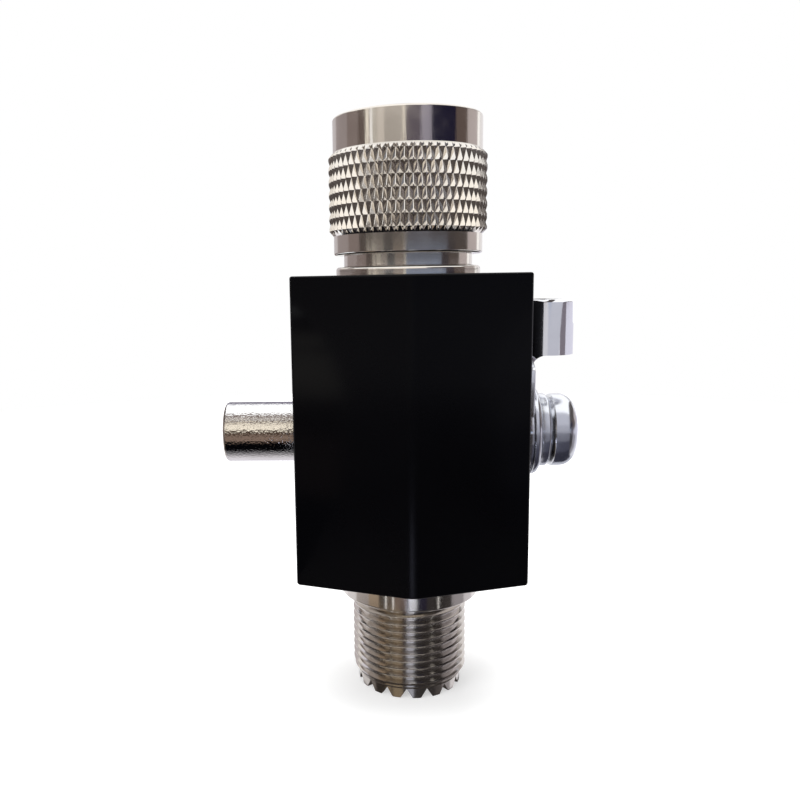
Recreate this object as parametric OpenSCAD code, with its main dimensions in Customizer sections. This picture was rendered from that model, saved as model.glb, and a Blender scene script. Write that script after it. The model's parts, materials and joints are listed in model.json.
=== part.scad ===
// Coax lightning arrestor: a UHF plug and a UHF socket on one block, with a gas tube from
// the inner conductor to the block and a ground lug under a screw.
// Millimetres. +Z runs along the coax axis towards the plug. The origin is on that axis,
// at the shoulder where the socket's thread starts.

/* [Block] */
// Width across the two flat sides
block_w = 30; // [29:0.5:34]
// Depth of each flat side
side_d = 20; // [18:0.5:24]
// Rise of the front and back ridges beyond the flat sides
ridge_rise = 5; // [3:0.25:7]
// Height of the block
block_h = 40; // [38:0.5:50]
// Radius along the front and back ridges
ridge_r = 2.75; // [1:0.25:4]
// Radius along the four upright corners
corner_r = 0.55; // [0.3:0.05:1.5]
// Chamfer round the top and bottom edges
edge_chamfer = 0.3; // [0.1:0.05:0.5]
// Radius of the coaxial cavity
cavity_r = 6.5; // [6.3:0.1:6.8]
// Height of the gas tube and the ground screw above the block's bottom
side_rise = 18.7; // [16:0.1:22]

/* [Socket] */
// Outside diameter of the thread
thread_d = 15.875; // [15.7:0.025:16]
// Length of the thread below the collar
thread_len = 10.9; // [9:0.1:11]
// Length from the collar to the tips of the crown
socket_len = 13.4; // [13.2:0.1:15]
// Outside radius of the crown
crown_r = 7.2; // [7:0.05:7.4]
// Number of teeth on the crown
crown_teeth = 16; // [12:2:20]
// Depth of the notches between the teeth
notch_depth = 1.35; // [0.8:0.05:1.4]
// Width of a tooth at its tip
tooth_tip_w = 1.08; // [0.6:0.02:1.2]
// Turn of the crown about the coax axis
crown_turn = -4.9; // [-11.2:0.1:11.2]
// Radius of the collar under the block
collar_r = 9.6; // [9:0.1:10]
// Height of the collar
collar_h = 3.9; // [3:0.1:5]
// Radius of the open end of the barrel
mouth_r = 6.2; // [6:0.05:6.3]
// Radius of the hole in the contact
contact_bore_r = 2.0; // [1.98:0.01:2.05]
// Depth of the hole in the contact
contact_bore_len = 8; // [7:0.1:9]

/* [Plug] */
// Radius of the flange ring on top of the block
flange_r = 9.6; // [9.2:0.1:10]
// Thickness of the flange ring
flange_h = 1.1; // [0.8:0.1:1.3]
// Radius of the neck that the nut turns on
neck_r = 8.53; // [8.4:0.01:8.6]
// Length of the neck above the flange ring
neck_len = 7.2; // [7.1:0.1:8]
// Radius of the centre pin
pin_r = 1.98; // [1.95:0.01:2]
// Height of the pin's tip below the nut's rim
pin_set_back = 1.75; // [0.5:0.05:3]

/* [Coupling nut] */
// Height of the nut
nut_h = 17.5; // [17:0.1:19]
// Gap between the flange ring and the nut
nut_gap = 1.55; // [1.3:0.05:1.7]
// Radius of the band under the knurl
lower_band_r = 9.845; // [9.7:0.005:10]
// Radius of the band above the knurl
upper_band_r = 9.815; // [9.7:0.005:10]
// Radius over the points of the knurl
knurl_r = 10.43; // [10.3:0.01:10.6]
// Depth of the knurl's crossing grooves
knurl_depth = 0.42; // [0.2:0.02:0.46]
// Number of diamonds round the knurl
knurl_diamonds = 60; // [40:2:72]
// Height from one row of points to the next
knurl_row = 1.55; // [1.2:0.05:1.6]
// Turn of the knurl about the coax axis
knurl_turn = -1.1; // [-3:0.1:3]
// Height of the knurl's lower edge above the nut's lower rim
knurl_rise = 3.05; // [2.8:0.05:3.3]
// Height of the knurl
knurl_h = 9.55; // [9:0.05:10]
// Chamfer at both edges of the knurl
knurl_chamfer = 0.55; // [0.5:0.05:0.6]
// Radius of the nut's threaded bore
nut_bore_r = 7.4; // [7.36:0.01:7.5]

/* [Gas tube holder] */
// Radius of the cap
cap_r = 4.14; // [4:0.01:4.2]
// Length of the cap that stands out of the block
cap_proud = 10.3; // [8:0.1:12]
// Length of the cap inside the block
cap_seat = 5.5; // [5.4:0.1:5.7]
// Rounding of the cap's outer end
cap_round = 0.45; // [0.2:0.05:0.8]
// Radius of the gas tube's electrodes
tube_r = 2.9; // [2.8:0.05:2.95]
// Length of the gas tube
tube_len = 6; // [5.9:0.05:6.1]

/* [Ground screw and lug] */
// Radius of the screw's shank
shank_r = 2.45; // [2.42:0.01:2.48]
// Radius of the screw's head
head_r = 4.94; // [4.7:0.02:5]
// Height of the screw's head
head_h = 3.8; // [3.6:0.05:4]
// Rounding of the head's shoulder
head_round = 2; // [1.5:0.1:2.2]
// Radius of the spring washer
spring_washer_r = 5.0; // [4.8:0.05:5.1]
// Thickness of the spring washer
spring_washer_t = 1.3; // [1:0.05:1.5]
// Radius of the flat washer
flat_washer_r = 6.08; // [5.5:0.02:6.2]
// Thickness of the flat washer
flat_washer_t = 1.15; // [1.05:0.05:1.3]
// Rounding of the flat washer's rim on the side of the head
flat_washer_round = 0.95; // [0.3:0.05:0.95]
// Thickness of the lug's tongue
lug_t = 1.3; // [1.1:0.05:1.5]
// Radius of the lug's tongue
tongue_r = 6; // [5.5:0.1:6.2]
// Outside radius of the lug's wire barrel
barrel_r = 3.55; // [3.4:0.05:3.7]
// Inside radius of the lug's wire barrel
barrel_bore_r = 2.25; // [2:0.05:2.4]
// Height of the barrel's foot above the screw
barrel_foot = 10.45; // [10:0.05:11]
// Height of the barrel's open end above the screw
barrel_top = 17.75; // [16:0.05:18.5]
// Half the width of the tongue below the barrel
neck_half_w = 5.4; // [4.5:0.1:5.8]

/* [Hidden] */
$fn = 96;
// Running clearance between a turning piece and its seat
run_fit = 0.05;
// Clearance between pieces that are assembled for good
slip_fit = 0.03;
// Overlap that lets a cut pass a face
past = 1;

// Heights along the coax axis
block_z0 = collar_h;
block_z1 = block_z0 + block_h;
flange_z1 = block_z1 + flange_h;
neck_z1 = flange_z1 + neck_len;
nut_z0 = flange_z1 + nut_gap;
nut_z1 = nut_z0 + nut_h;
knurl_z0 = nut_z0 + knurl_rise;
knurl_z1 = knurl_z0 + knurl_h;
side_z = block_z0 + side_rise;
thread_r = thread_d / 2;

// Spigots of the plug and the socket inside the block
spigot_r = cavity_r + 1;
spigot_len = 5;

// Retaining ring of the nut
ring_h = 1.0;
ring_z = flange_z1 + 5.25;
ring_in_r = neck_r - 0.58;
ring_out_r = neck_r + 0.42;
ring_gap = 2;
ring_play = 0.1;

// Rim and keys of the plug, and the bore behind them
rim_r = 6;
rim_h = 2.8;
rim_lip_r = 4.6;
rim_lip_h = 1;
plug_bore_r = 5.2;
key_w = 1.2;
key_h = 0.9;
key_reach = 7.1;

// Pin's shank inside the insulator, and the taper at its tip
pin_shank_r = pin_r + 0.32;
pin_taper = 2.2;

// Inner conductor, its studs and its shoulder
conductor_r = 2.8;
conductor_z0 = 6;
conductor_z1 = block_z1 - 2.9;
shoulder_r = 3.4;
shoulder_h = 1.5;
stud_r = 1.5;
stud_len = 3.5;
tube_seat = 0.5;

// Socket insulator, the lip that keeps it in, and the contact
lip_r = 5.4;
lip_z = -7.6;
lip_h = 1.2;
nose_z = -8.4;
contact_z = -8.6;
contact_slot_w = 0.5;
contact_slot_len = 6;

// Places along the gas tube, from the coax axis towards -X
tube_x0 = conductor_r - tube_seat;
tube_x1 = tube_x0 + tube_len;
electrode_t = 0.8;
ceramic_r = tube_r - 0.15;
ceramic_bore_r = 1.9;
electrode_boss_r = 1.2;
electrode_boss_len = 1.6;
cap_x0 = block_w / 2 - cap_seat;
cap_x1 = block_w / 2 + cap_proud;
pocket_r = 2.4;
pocket_len = 3.5;
spring_wire_r = 0.3;
spring_turns = 5;

// Places along the ground screw, from the coax axis towards +X
lug_x = block_w / 2;
flat_washer_x = lug_x + lug_t;
spring_washer_x = flat_washer_x + flat_washer_t;
head_x = spring_washer_x + spring_washer_t;
screw_tip_x = cavity_r + 1.3;
screw_hole_x = screw_tip_x - 0.5;
washer_bore_r = shank_r + 0.18;
lug_bore_r = shank_r + 0.25;

nickel = [0.74, 0.72, 0.69];
zinc = [0.76, 0.78, 0.81];
tin = [0.80, 0.82, 0.85];
brass = [0.78, 0.62, 0.33];
black = [0.05, 0.05, 0.055];
white = [0.93, 0.93, 0.91];
spring_steel = [0.55, 0.56, 0.58];
ceramic = [0.90, 0.82, 0.78];

function unit(v) = v / norm(v);

function reversed(list) = [for (i = [len(list) - 1 : -1 : 0]) list[i]];

// Points of the arc of radius r that rounds the corner b between its neighbours a and c
function fillet(a, b, c, r, steps = 8) =
    let (
        u = unit(a - b),
        v = unit(c - b),
        half = acos(u * v) / 2,
        centre = b + unit(u + v) * r / sin(half),
        start = b + u * r / tan(half) - centre,
        end = b + v * r / tan(half) - centre,
        from = atan2(start.y, start.x),
        turn = (atan2(end.y, end.x) - from + 540) % 360 - 180
    )
    [for (i = [0 : steps]) let (t = from + turn * i / steps) centre + r * [cos(t), sin(t)]];

// Sharp corners of the block's section, starting at the front left
function block_corners() = [
    [-block_w / 2, -side_d / 2],
    [0, -side_d / 2 - ridge_rise],
    [block_w / 2, -side_d / 2],
    [block_w / 2, side_d / 2],
    [0, side_d / 2 + ridge_rise],
    [-block_w / 2, side_d / 2]
];

function block_outline() =
    let (
        corners = block_corners(),
        radii = [corner_r, ridge_r, corner_r, corner_r, ridge_r, corner_r]
    )
    [for (i = [0 : 5]) each fillet(corners[(i + 5) % 6], corners[i], corners[(i + 1) % 6], radii[i])];

// Turns children that stand on +Z so that they point along +X or -X from the side axis
module towards_right(x) {
    translate([x, 0, side_z]) rotate([0, 90, 0]) children();
}

module towards_left(x) {
    translate([-x, 0, side_z]) rotate([0, -90, 0]) children();
}

module tube(r_out, r_in, h) {
    difference() {
        cylinder(r = r_out, h = h);
        translate([0, 0, -past]) cylinder(r = r_in, h = h + 2 * past);
    }
}

// Cutters that chamfer every edge of one end of the block
module edge_cutters(z) {
    corners = block_corners();
    side = edge_chamfer * sqrt(2);
    for (i = [0 : 5]) {
        a = corners[i];
        b = corners[(i + 1) % 6];
        out = unit([b.y - a.y, a.x - b.x]);
        rotate([0, 0, atan2(out.y, out.x)])
            translate([a * out, 0, z])
                rotate([0, 45, 0])
                    cube([side, 3 * block_w, side], center = true);
    }
}

module body_block() {
    color(black)
        difference() {
            translate([0, 0, block_z0]) linear_extrude(block_h) polygon(block_outline());
            edge_cutters(block_z0);
            edge_cutters(block_z1);
            translate([0, 0, block_z0 - past]) cylinder(r = cavity_r, h = block_h + 2 * past);
            translate([0, 0, block_z0 - past]) cylinder(r = spigot_r, h = spigot_len + past);
            translate([0, 0, block_z1 - spigot_len]) cylinder(r = spigot_r, h = spigot_len + past);
            towards_left(cap_x0 - 0.3) cylinder(r = cap_r + run_fit, h = cap_seat + past);
            towards_left(0) cylinder(r = tube_r + 0.25, h = cap_x0);
            towards_right(screw_hole_x) cylinder(r = shank_r + run_fit, h = block_w);
        }
}

module plug_body() {
    fit = spigot_r - slip_fit;
    lip_z0 = neck_z1 + rim_h - rim_lip_h;
    flange_edge = fillet([flange_r, block_z1], [flange_r, flange_z1], [neck_r, flange_z1], 0.4, 5);
    color(nickel) {
        rotate_extrude() polygon(concat([
            [plug_bore_r, block_z1 - spigot_len],
            [fit, block_z1 - spigot_len],
            [fit, block_z1],
            [flange_r, block_z1]
        ], flange_edge, [
            [neck_r, flange_z1],
            [neck_r, ring_z],
            [ring_in_r - 0.05, ring_z],
            [ring_in_r - 0.05, ring_z + ring_h + ring_play],
            [neck_r, ring_z + ring_h + ring_play],
            [neck_r, neck_z1 - 0.3],
            [neck_r - 0.3, neck_z1],
            [rim_r, neck_z1],
            [rim_r, neck_z1 + rim_h - 0.3],
            [rim_r - 0.3, neck_z1 + rim_h],
            [rim_lip_r, neck_z1 + rim_h],
            [rim_lip_r, lip_z0],
            [plug_bore_r, lip_z0]
        ]));
        for (side = [0, 180])
            rotate([0, 0, side])
                translate([rim_r - 0.2, -key_w / 2, neck_z1 - 0.2])
                    cube([key_reach - rim_r + 0.2, key_w, key_h + 0.2]);
    }
}

// Drum with rows of four-sided points, the diamonds that two crossing sets of grooves leave.
// Its ends reach into the bands of the nut by sink.
module knurled_drum() {
    sink = 0.3;
    inset = 0.04;
    half_rows = floor(knurl_h / 2 / knurl_row);
    mid_z = (knurl_z0 + knurl_z1) / 2;
    root_r = knurl_r - knurl_depth;
    sides = 2 * knurl_diamonds;
    low_z = knurl_z0 - knurl_chamfer;
    high_z = knurl_z1 + knurl_chamfer;
    // Each row: its height, and the radius at its even and at its odd places
    rows = concat(
        [for (z = [low_z - sink, low_z]) [z, lower_band_r - inset, lower_band_r - inset]],
        [
            for (j = [-half_rows : half_rows])
                let (even = abs(j) % 2 == 0)
                    [mid_z + j * knurl_row, even ? root_r : knurl_r, even ? knurl_r : root_r]
        ],
        [for (z = [high_z, high_z + sink]) [z, upper_band_r - inset, upper_band_r - inset]]
    );
    points = [
        for (row = rows, i = [0 : sides - 1])
            let (t = 360 * i / sides + knurl_turn, r = row[1 + i % 2])
                [r * cos(t), r * sin(t), row[0]]
    ];
    // Each cell is split along the groove that crosses it
    walls = [
        for (j = [0 : len(rows) - 2], i = [0 : sides - 1])
            let (
                k = (i + 1) % sides,
                a = j * sides + i,
                b = j * sides + k,
                c = (j + 1) * sides + k,
                d = (j + 1) * sides + i
            )
            each (i + j + half_rows) % 2 == 0 ? [[a, c, b], [a, d, c]] : [[a, d, b], [d, c, b]]
    ];
    ends = [
        [for (i = [0 : sides - 1]) i],
        [for (i = [sides - 1 : -1 : 0]) (len(rows) - 1) * sides + i]
    ];
    polyhedron(points, concat(walls, ends));
}

module coupling_nut() {
    turning_r = neck_r + run_fit;
    groove_r = ring_out_r + ring_play;
    shoulder_z = neck_z1 + 0.3;
    waist_r = knurl_r - knurl_depth - 0.4;
    color(nickel)
        difference() {
            union() {
                rotate_extrude() polygon([
                    [0, nut_z0],
                    [lower_band_r - 0.25, nut_z0],
                    [lower_band_r, nut_z0 + 0.25],
                    [lower_band_r, knurl_z0 - knurl_chamfer],
                    [waist_r, knurl_z0 - knurl_chamfer],
                    [waist_r, knurl_z1 + knurl_chamfer],
                    [upper_band_r, knurl_z1 + knurl_chamfer],
                    [upper_band_r, nut_z1 - 0.3],
                    [upper_band_r - 0.3, nut_z1],
                    [0, nut_z1]
                ]);
                knurled_drum();
            }
            rotate_extrude() polygon([
                [0, nut_z0 - past],
                [turning_r, nut_z0 - past],
                [turning_r, ring_z - ring_play],
                [groove_r, ring_z - ring_play],
                [groove_r, ring_z + ring_h + ring_play],
                [turning_r, ring_z + ring_h + ring_play],
                [turning_r, shoulder_z],
                [nut_bore_r, shoulder_z],
                [nut_bore_r, nut_z1 - 0.7],
                [nut_bore_r + 0.7 + past, nut_z1 + past],
                [0, nut_z1 + past]
            ]);
        }
}

module nut_retaining_ring() {
    color(spring_steel)
        translate([0, 0, ring_z])
            difference() {
                tube(ring_out_r, ring_in_r, ring_h);
                translate([0, -ring_gap / 2, -past]) cube([2 * ring_out_r, ring_gap, ring_h + 2 * past]);
            }
}

module plug_insulator() {
    lip_z0 = neck_z1 + rim_h - rim_lip_h;
    color(white)
        rotate_extrude() polygon([
            [pin_shank_r + slip_fit, conductor_z1],
            [plug_bore_r - slip_fit, conductor_z1],
            [plug_bore_r - slip_fit, lip_z0],
            [rim_lip_r - slip_fit, lip_z0],
            [rim_lip_r - slip_fit, lip_z0 + rim_lip_h],
            [pin_shank_r + slip_fit, lip_z0 + rim_lip_h]
        ]);
}

module plug_pin() {
    tip_z = nut_z1 - pin_set_back;
    tip_round = fillet([0, tip_z], [pin_r * 0.75, tip_z], [pin_r, tip_z - pin_taper], 0.9);
    color(nickel)
        rotate_extrude() polygon(concat(
            [
                [0, conductor_z1 - stud_len],
                [stud_r, conductor_z1 - stud_len],
                [stud_r, conductor_z1],
                [pin_shank_r, conductor_z1],
                [pin_shank_r, neck_z1 + rim_h],
                [pin_r, neck_z1 + rim_h],
                [pin_r, tip_z - pin_taper]
            ],
            reversed(tip_round),
            [[0, tip_z]]
        ));
}

module inner_conductor() {
    shoulder_z = block_z0 + spigot_len;
    color(brass)
        difference() {
            union() {
                translate([0, 0, conductor_z0]) cylinder(r = conductor_r, h = conductor_z1 - conductor_z0);
                translate([0, 0, shoulder_z]) cylinder(r = shoulder_r, h = shoulder_h);
            }
            translate([0, 0, conductor_z0 - past]) cylinder(r = stud_r + slip_fit, h = stud_len + 0.5 + past);
            translate([0, 0, conductor_z1 - stud_len - 0.5])
                cylinder(r = stud_r + slip_fit, h = stud_len + 0.5 + past);
            towards_left(tube_x0) cylinder(r = tube_r + 0.1, h = tube_len);
        }
}

module crown_notches() {
    pitch = 360 / crown_teeth;
    half_w = crown_r * sin(pitch / 2) - tooth_tip_w / 2;
    for (i = [0 : crown_teeth / 2 - 1])
        rotate([0, 0, i * pitch + crown_turn])
            translate([-2 * crown_r, 0, -socket_len])
                rotate([90, 0, 90])
                    linear_extrude(4 * crown_r)
                        polygon([[-2 * half_w, -notch_depth], [2 * half_w, -notch_depth], [0, notch_depth]]);
}

module socket_shell() {
    fit = spigot_r - slip_fit;
    color(nickel)
        difference() {
            rotate_extrude() polygon([
                [mouth_r, -socket_len],
                [crown_r, -socket_len],
                [crown_r, -thread_len - 1.1],
                [thread_r, -thread_len],
                [thread_r, 0],
                [collar_r - 0.2, 0],
                [collar_r, 0.2],
                [collar_r, block_z0],
                [fit, block_z0],
                [fit, block_z0 + spigot_len],
                [mouth_r, block_z0 + spigot_len],
                [mouth_r, lip_z + lip_h],
                [lip_r, lip_z + lip_h],
                [lip_r, lip_z],
                [mouth_r, lip_z]
            ]);
            crown_notches();
        }
}

module socket_insulator() {
    hole_r = conductor_r + slip_fit;
    color(white)
        rotate_extrude() polygon([
            [hole_r, nose_z],
            [lip_r - slip_fit, nose_z],
            [lip_r - slip_fit, lip_z + lip_h],
            [mouth_r - slip_fit, lip_z + lip_h],
            [mouth_r - slip_fit, block_z0 + spigot_len],
            [hole_r, block_z0 + spigot_len]
        ]);
}

module socket_contact() {
    color(brass)
        difference() {
            union() {
                translate([0, 0, contact_z]) cylinder(r = conductor_r, h = conductor_z0 - contact_z);
                translate([0, 0, conductor_z0]) cylinder(r = stud_r, h = stud_len);
            }
            translate([0, 0, contact_z - past]) cylinder(r = contact_bore_r, h = contact_bore_len + past);
            for (turn = [45, 135])
                rotate([0, 0, turn])
                    translate([-2 * conductor_r, -contact_slot_w / 2, contact_z - past])
                        cube([4 * conductor_r, contact_slot_w, contact_slot_len + past]);
        }
}

module gas_tube_cap() {
    length = cap_x1 - cap_x0;
    rounded_end = fillet([0, length], [cap_r, length], [cap_r, 0], cap_round, 6);
    color(nickel)
        towards_left(cap_x0)
            rotate_extrude() polygon(concat(
                [[pocket_r, 0], [cap_r - 0.4, 0], [cap_r, 0.4]],
                reversed(rounded_end),
                [[0, length], [0, pocket_len], [pocket_r, pocket_len]]
            ));
}

// Round wire wound into a helix along +Z, with closed ends
module coil(mean_r, wire_r, length, turns, sides = 8, rings_per_turn = 16) {
    rings = turns * rings_per_turn;
    rise = length - 2 * wire_r;
    points = [
        for (i = [0 : rings])
            let (a = 360 * i / rings_per_turn, z = wire_r + rise * i / rings)
                for (j = [0 : sides - 1])
                    let (b = 360 * j / sides, r = mean_r + wire_r * cos(b))
                        [r * cos(a), r * sin(a), z + wire_r * sin(b)]
    ];
    walls = [
        for (i = [0 : rings - 1], j = [0 : sides - 1])
            let (k = (j + 1) % sides)
                [i * sides + j, i * sides + k, (i + 1) * sides + k, (i + 1) * sides + j]
    ];
    ends = [
        [for (j = [sides - 1 : -1 : 0]) j],
        [for (j = [0 : sides - 1]) rings * sides + j]
    ];
    polyhedron(points, concat(walls, ends));
}

module contact_spring() {
    color(spring_steel)
        towards_left(tube_x1)
            coil(pocket_r - spring_wire_r - 0.1, spring_wire_r, cap_x0 + pocket_len - tube_x1, spring_turns);
}

module gas_tube_electrode() {
    cylinder(r = tube_r, h = electrode_t);
    cylinder(r = electrode_boss_r, h = electrode_t + electrode_boss_len);
}

module gas_tube_inner_electrode() {
    color(spring_steel) towards_left(tube_x0) gas_tube_electrode();
}

module gas_tube_outer_electrode() {
    color(spring_steel) towards_left(tube_x1) mirror([0, 0, 1]) gas_tube_electrode();
}

module gas_tube_ceramic() {
    color(ceramic)
        towards_left(tube_x0 + electrode_t)
            tube(ceramic_r, ceramic_bore_r, tube_len - 2 * electrode_t);
}

module ground_screw() {
    recess_w = 1.1;
    recess_len = 4.6;
    recess_depth = 1.9;
    dome = 0.15;
    rim_h = 0.5;
    shoulder = fillet([0, head_h], [head_r, head_h - dome], [head_r, rim_h], head_round);
    color(zinc)
        towards_right(0)
            difference() {
                union() {
                    translate([0, 0, screw_tip_x]) cylinder(r = shank_r, h = head_x - screw_tip_x + 0.5);
                    translate([0, 0, head_x])
                        rotate_extrude() polygon(concat(
                            [[0, 0], [head_r - 0.3, 0], [head_r, rim_h]],
                            reversed(shoulder),
                            [[0, head_h]]
                        ));
                }
                for (turn = [45, 135])
                    rotate([0, 0, turn])
                        translate([-recess_len / 2, -recess_w / 2, head_x + head_h - recess_depth])
                            cube([recess_len, recess_w, recess_depth + past]);
            }
}

// Washer with a rounded rim on its far side
module washer(r, t, rim_round) {
    rim = fillet([r, 0], [r, t], [washer_bore_r, t], rim_round, 6);
    rotate_extrude() polygon(concat(
        [[washer_bore_r, 0], [r - 0.15, 0], [r, 0.15]],
        rim,
        [[washer_bore_r, t]]
    ));
}

module spring_washer() {
    split_w = 0.5;
    split_slant = 25;
    color(zinc)
        towards_right(spring_washer_x)
            difference() {
                washer(spring_washer_r, spring_washer_t, 0.5);
                translate([0, spring_washer_r * 0.75, spring_washer_t / 2])
                    rotate([0, split_slant, 0])
                        cube([split_w, spring_washer_r, 3 * spring_washer_t], center = true);
            }
}

module flat_washer() {
    color(zinc) towards_right(flat_washer_x) washer(flat_washer_r, flat_washer_t, flat_washer_round);
}

// Flat tongue, from the round eye up to the foot of the wire barrel, where its sides curl inwards
module lug_tongue(curl_rise) {
    foot_half_w = 3;
    eye_rise = 2.5;
    towards_right(lug_x) {
        cylinder(r = tongue_r, h = lug_t);
        linear_extrude(lug_t)
            polygon([
                [-eye_rise, -neck_half_w],
                [-curl_rise, -neck_half_w],
                [-barrel_foot - lug_t, -foot_half_w],
                [-barrel_foot - lug_t, foot_half_w],
                [-curl_rise, neck_half_w],
                [-eye_rise, neck_half_w]
            ]);
    }
}

// Space in front of the tongue, with the arc that sweeps the tongue into the barrel
module lug_clearance(sweep_r) {
    face_x = lug_x + lug_t;
    foot_z = side_z + barrel_foot;
    depth = 4 * barrel_r;
    translate([face_x, -depth / 2, side_z]) cube([depth, depth, barrel_foot - sweep_r]);
    translate([face_x + sweep_r, -depth / 2, side_z]) cube([depth, depth, barrel_foot]);
    translate([face_x + sweep_r, depth / 2, foot_z - sweep_r])
        rotate([90, 0, 0])
            cylinder(r = sweep_r, h = depth);
}

module ring_lug() {
    barrel_x = lug_x + barrel_r;
    sweep_r = 1.7;
    barrel_low = barrel_foot - sweep_r;
    color(tin)
        difference() {
            union() {
                lug_tongue(barrel_low);
                difference() {
                    translate([barrel_x, 0, side_z + barrel_low])
                        cylinder(r = barrel_r, h = barrel_top - barrel_low);
                    lug_clearance(sweep_r);
                }
            }
            translate([barrel_x, 0, side_z + barrel_low - past])
                cylinder(r = barrel_bore_r, h = barrel_top - barrel_low + 2 * past);
            towards_right(lug_x - past) cylinder(r = lug_bore_r, h = lug_t + 2 * past);
        }
}

body_block();
plug_body();
coupling_nut();
nut_retaining_ring();
plug_insulator();
plug_pin();
inner_conductor();
socket_shell();
socket_insulator();
socket_contact();
gas_tube_cap();
contact_spring();
gas_tube_outer_electrode();
gas_tube_ceramic();
gas_tube_inner_electrode();
ground_screw();
spring_washer();
flat_washer();
ring_lug();
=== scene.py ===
"""Coax lightning arrestor: the visible pieces, their finishes and the stage, made round the fixed solids."""

import json
import math

import bpy
from mathutils import Matrix, Vector


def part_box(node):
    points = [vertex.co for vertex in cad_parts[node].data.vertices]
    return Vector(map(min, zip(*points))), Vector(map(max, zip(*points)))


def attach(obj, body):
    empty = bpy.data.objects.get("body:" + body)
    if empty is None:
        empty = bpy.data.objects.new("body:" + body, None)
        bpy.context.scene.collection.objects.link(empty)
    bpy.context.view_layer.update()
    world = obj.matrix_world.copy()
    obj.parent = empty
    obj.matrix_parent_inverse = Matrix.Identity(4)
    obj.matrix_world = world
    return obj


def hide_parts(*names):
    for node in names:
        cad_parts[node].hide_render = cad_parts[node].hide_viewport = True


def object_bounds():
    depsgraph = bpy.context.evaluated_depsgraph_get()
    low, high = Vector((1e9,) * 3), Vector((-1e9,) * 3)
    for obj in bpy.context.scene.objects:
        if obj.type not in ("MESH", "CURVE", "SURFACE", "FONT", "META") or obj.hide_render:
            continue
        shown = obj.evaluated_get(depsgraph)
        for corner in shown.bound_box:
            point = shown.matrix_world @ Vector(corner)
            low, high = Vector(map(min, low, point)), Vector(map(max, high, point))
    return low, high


bl_info = {
    "name": "Coax Lightning Arrestor",
    "version": (1, 0, 0),
    "blender": (4, 5, 0),
    "location": "View3D > Sidebar > Arrestor",
    "description": "Makes the pieces, finishes and stage of a coax lightning arrestor",
    "category": "Add Mesh",
}

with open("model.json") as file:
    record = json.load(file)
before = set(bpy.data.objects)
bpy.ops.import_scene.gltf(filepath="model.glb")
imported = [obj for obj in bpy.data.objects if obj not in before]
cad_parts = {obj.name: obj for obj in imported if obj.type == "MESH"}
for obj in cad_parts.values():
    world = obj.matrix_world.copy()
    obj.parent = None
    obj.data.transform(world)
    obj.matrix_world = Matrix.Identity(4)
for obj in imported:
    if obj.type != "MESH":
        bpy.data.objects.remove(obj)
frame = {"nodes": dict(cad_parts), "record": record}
cad_low, cad_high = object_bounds()

MM = 0.001
# Distance under which two points of a mesh are one
WELD = 0.0005 * MM
# Margin of a test on where a face lies
MARGIN = 0.05 * MM
# Radial clearance of the gas tube cap in its hole
CLEARANCE = 0.05 * MM
# Overlap of two forms that are joined
LAP = 0.1 * MM
# Overlap that lets a cut pass a face
PAST = 0.5 * MM
# Roundings of small edges, from a crisp one to a soft one
CRISP = 0.03 * MM
BROKEN = 0.05 * MM
EASED = 0.1 * MM
BLUNT = 0.12 * MM
SOFT = 0.15 * MM

BLOCK_LOW, BLOCK_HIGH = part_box("body_block")
NUT_LOW, NUT_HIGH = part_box("coupling_nut")
SOCKET_LOW, SOCKET_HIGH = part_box("socket_shell")
CAP_LOW, CAP_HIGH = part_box("gas_tube_cap")
SCREW_LOW, SCREW_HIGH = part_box("ground_screw")
FLAT_LOW, FLAT_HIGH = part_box("flat_washer")
SPRING_LOW, SPRING_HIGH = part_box("spring_washer")
LUG_LOW, LUG_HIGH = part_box("ring_lug")

# Height of the axis that the gas tube holder and the ground screw share
SIDE_Z = (CAP_LOW.z + CAP_HIGH.z) / 2
MOUNTS = {mount["name"]: mount["dims"] for mount in frame["record"]["mounts"]}


def length(name, default, description):
    """A size in metres, shown in the sidebar."""
    return bpy.props.FloatProperty(
        name=name, description=description, default=default, unit="LENGTH", precision=5
    )


def rotation(name, degrees, description):
    """A turn or slant, shown in the sidebar in degrees."""
    return bpy.props.FloatProperty(
        name=name, description=description, default=math.radians(degrees), subtype="ANGLE"
    )


def count(name, default, description, least):
    """A whole number that isn't under its least."""
    return bpy.props.IntProperty(name=name, description=description, default=default, min=least)


def colour(name, default, description):
    """A finish's base colour, linear."""
    return bpy.props.FloatVectorProperty(
        name=name, description=description, default=default, subtype="COLOR", size=3, min=0, max=1
    )


class BlockSizes(bpy.types.PropertyGroup):
    """Sizes of the black block"""

    side_depth: length("Side depth", 20 * MM, "Depth of each flat side")
    ridge_round: length("Ridge rounding", 2.75 * MM, "Radius along the front and back ridges")
    corner_round: length("Corner rounding", 0.55 * MM, "Radius along the four upright corners")
    edge_round: length("Edge rounding", 0.3 * MM, "Rounding of the top and bottom edges")
    cavity_radius: length("Cavity radius", 6.5 * MM, "Radius of the coaxial cavity")
    spigot_radius: length("Spigot hole radius", 7.5 * MM, "Radius of the holes for the plug and the socket")
    spigot_depth: length("Spigot hole depth", 5 * MM, "Depth of those two holes")
    cap_hole_radius: length(
        "Cap hole radius", CAP_HIGH.z - SIDE_Z + CLEARANCE, "Radius of the gas tube holder's hole"
    )
    cap_hole_depth: length("Cap hole depth", 5.8 * MM, "Depth of that hole")
    tube_hole_radius: length("Tube hole radius", 3.15 * MM, "Radius of the hole for the gas tube")
    screw_hole_radius: length("Screw hole radius", 2.5 * MM, "Radius of the ground screw's hole")
    screw_hole_depth: length("Screw hole depth", 7.7 * MM, "Depth of that hole")


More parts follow.
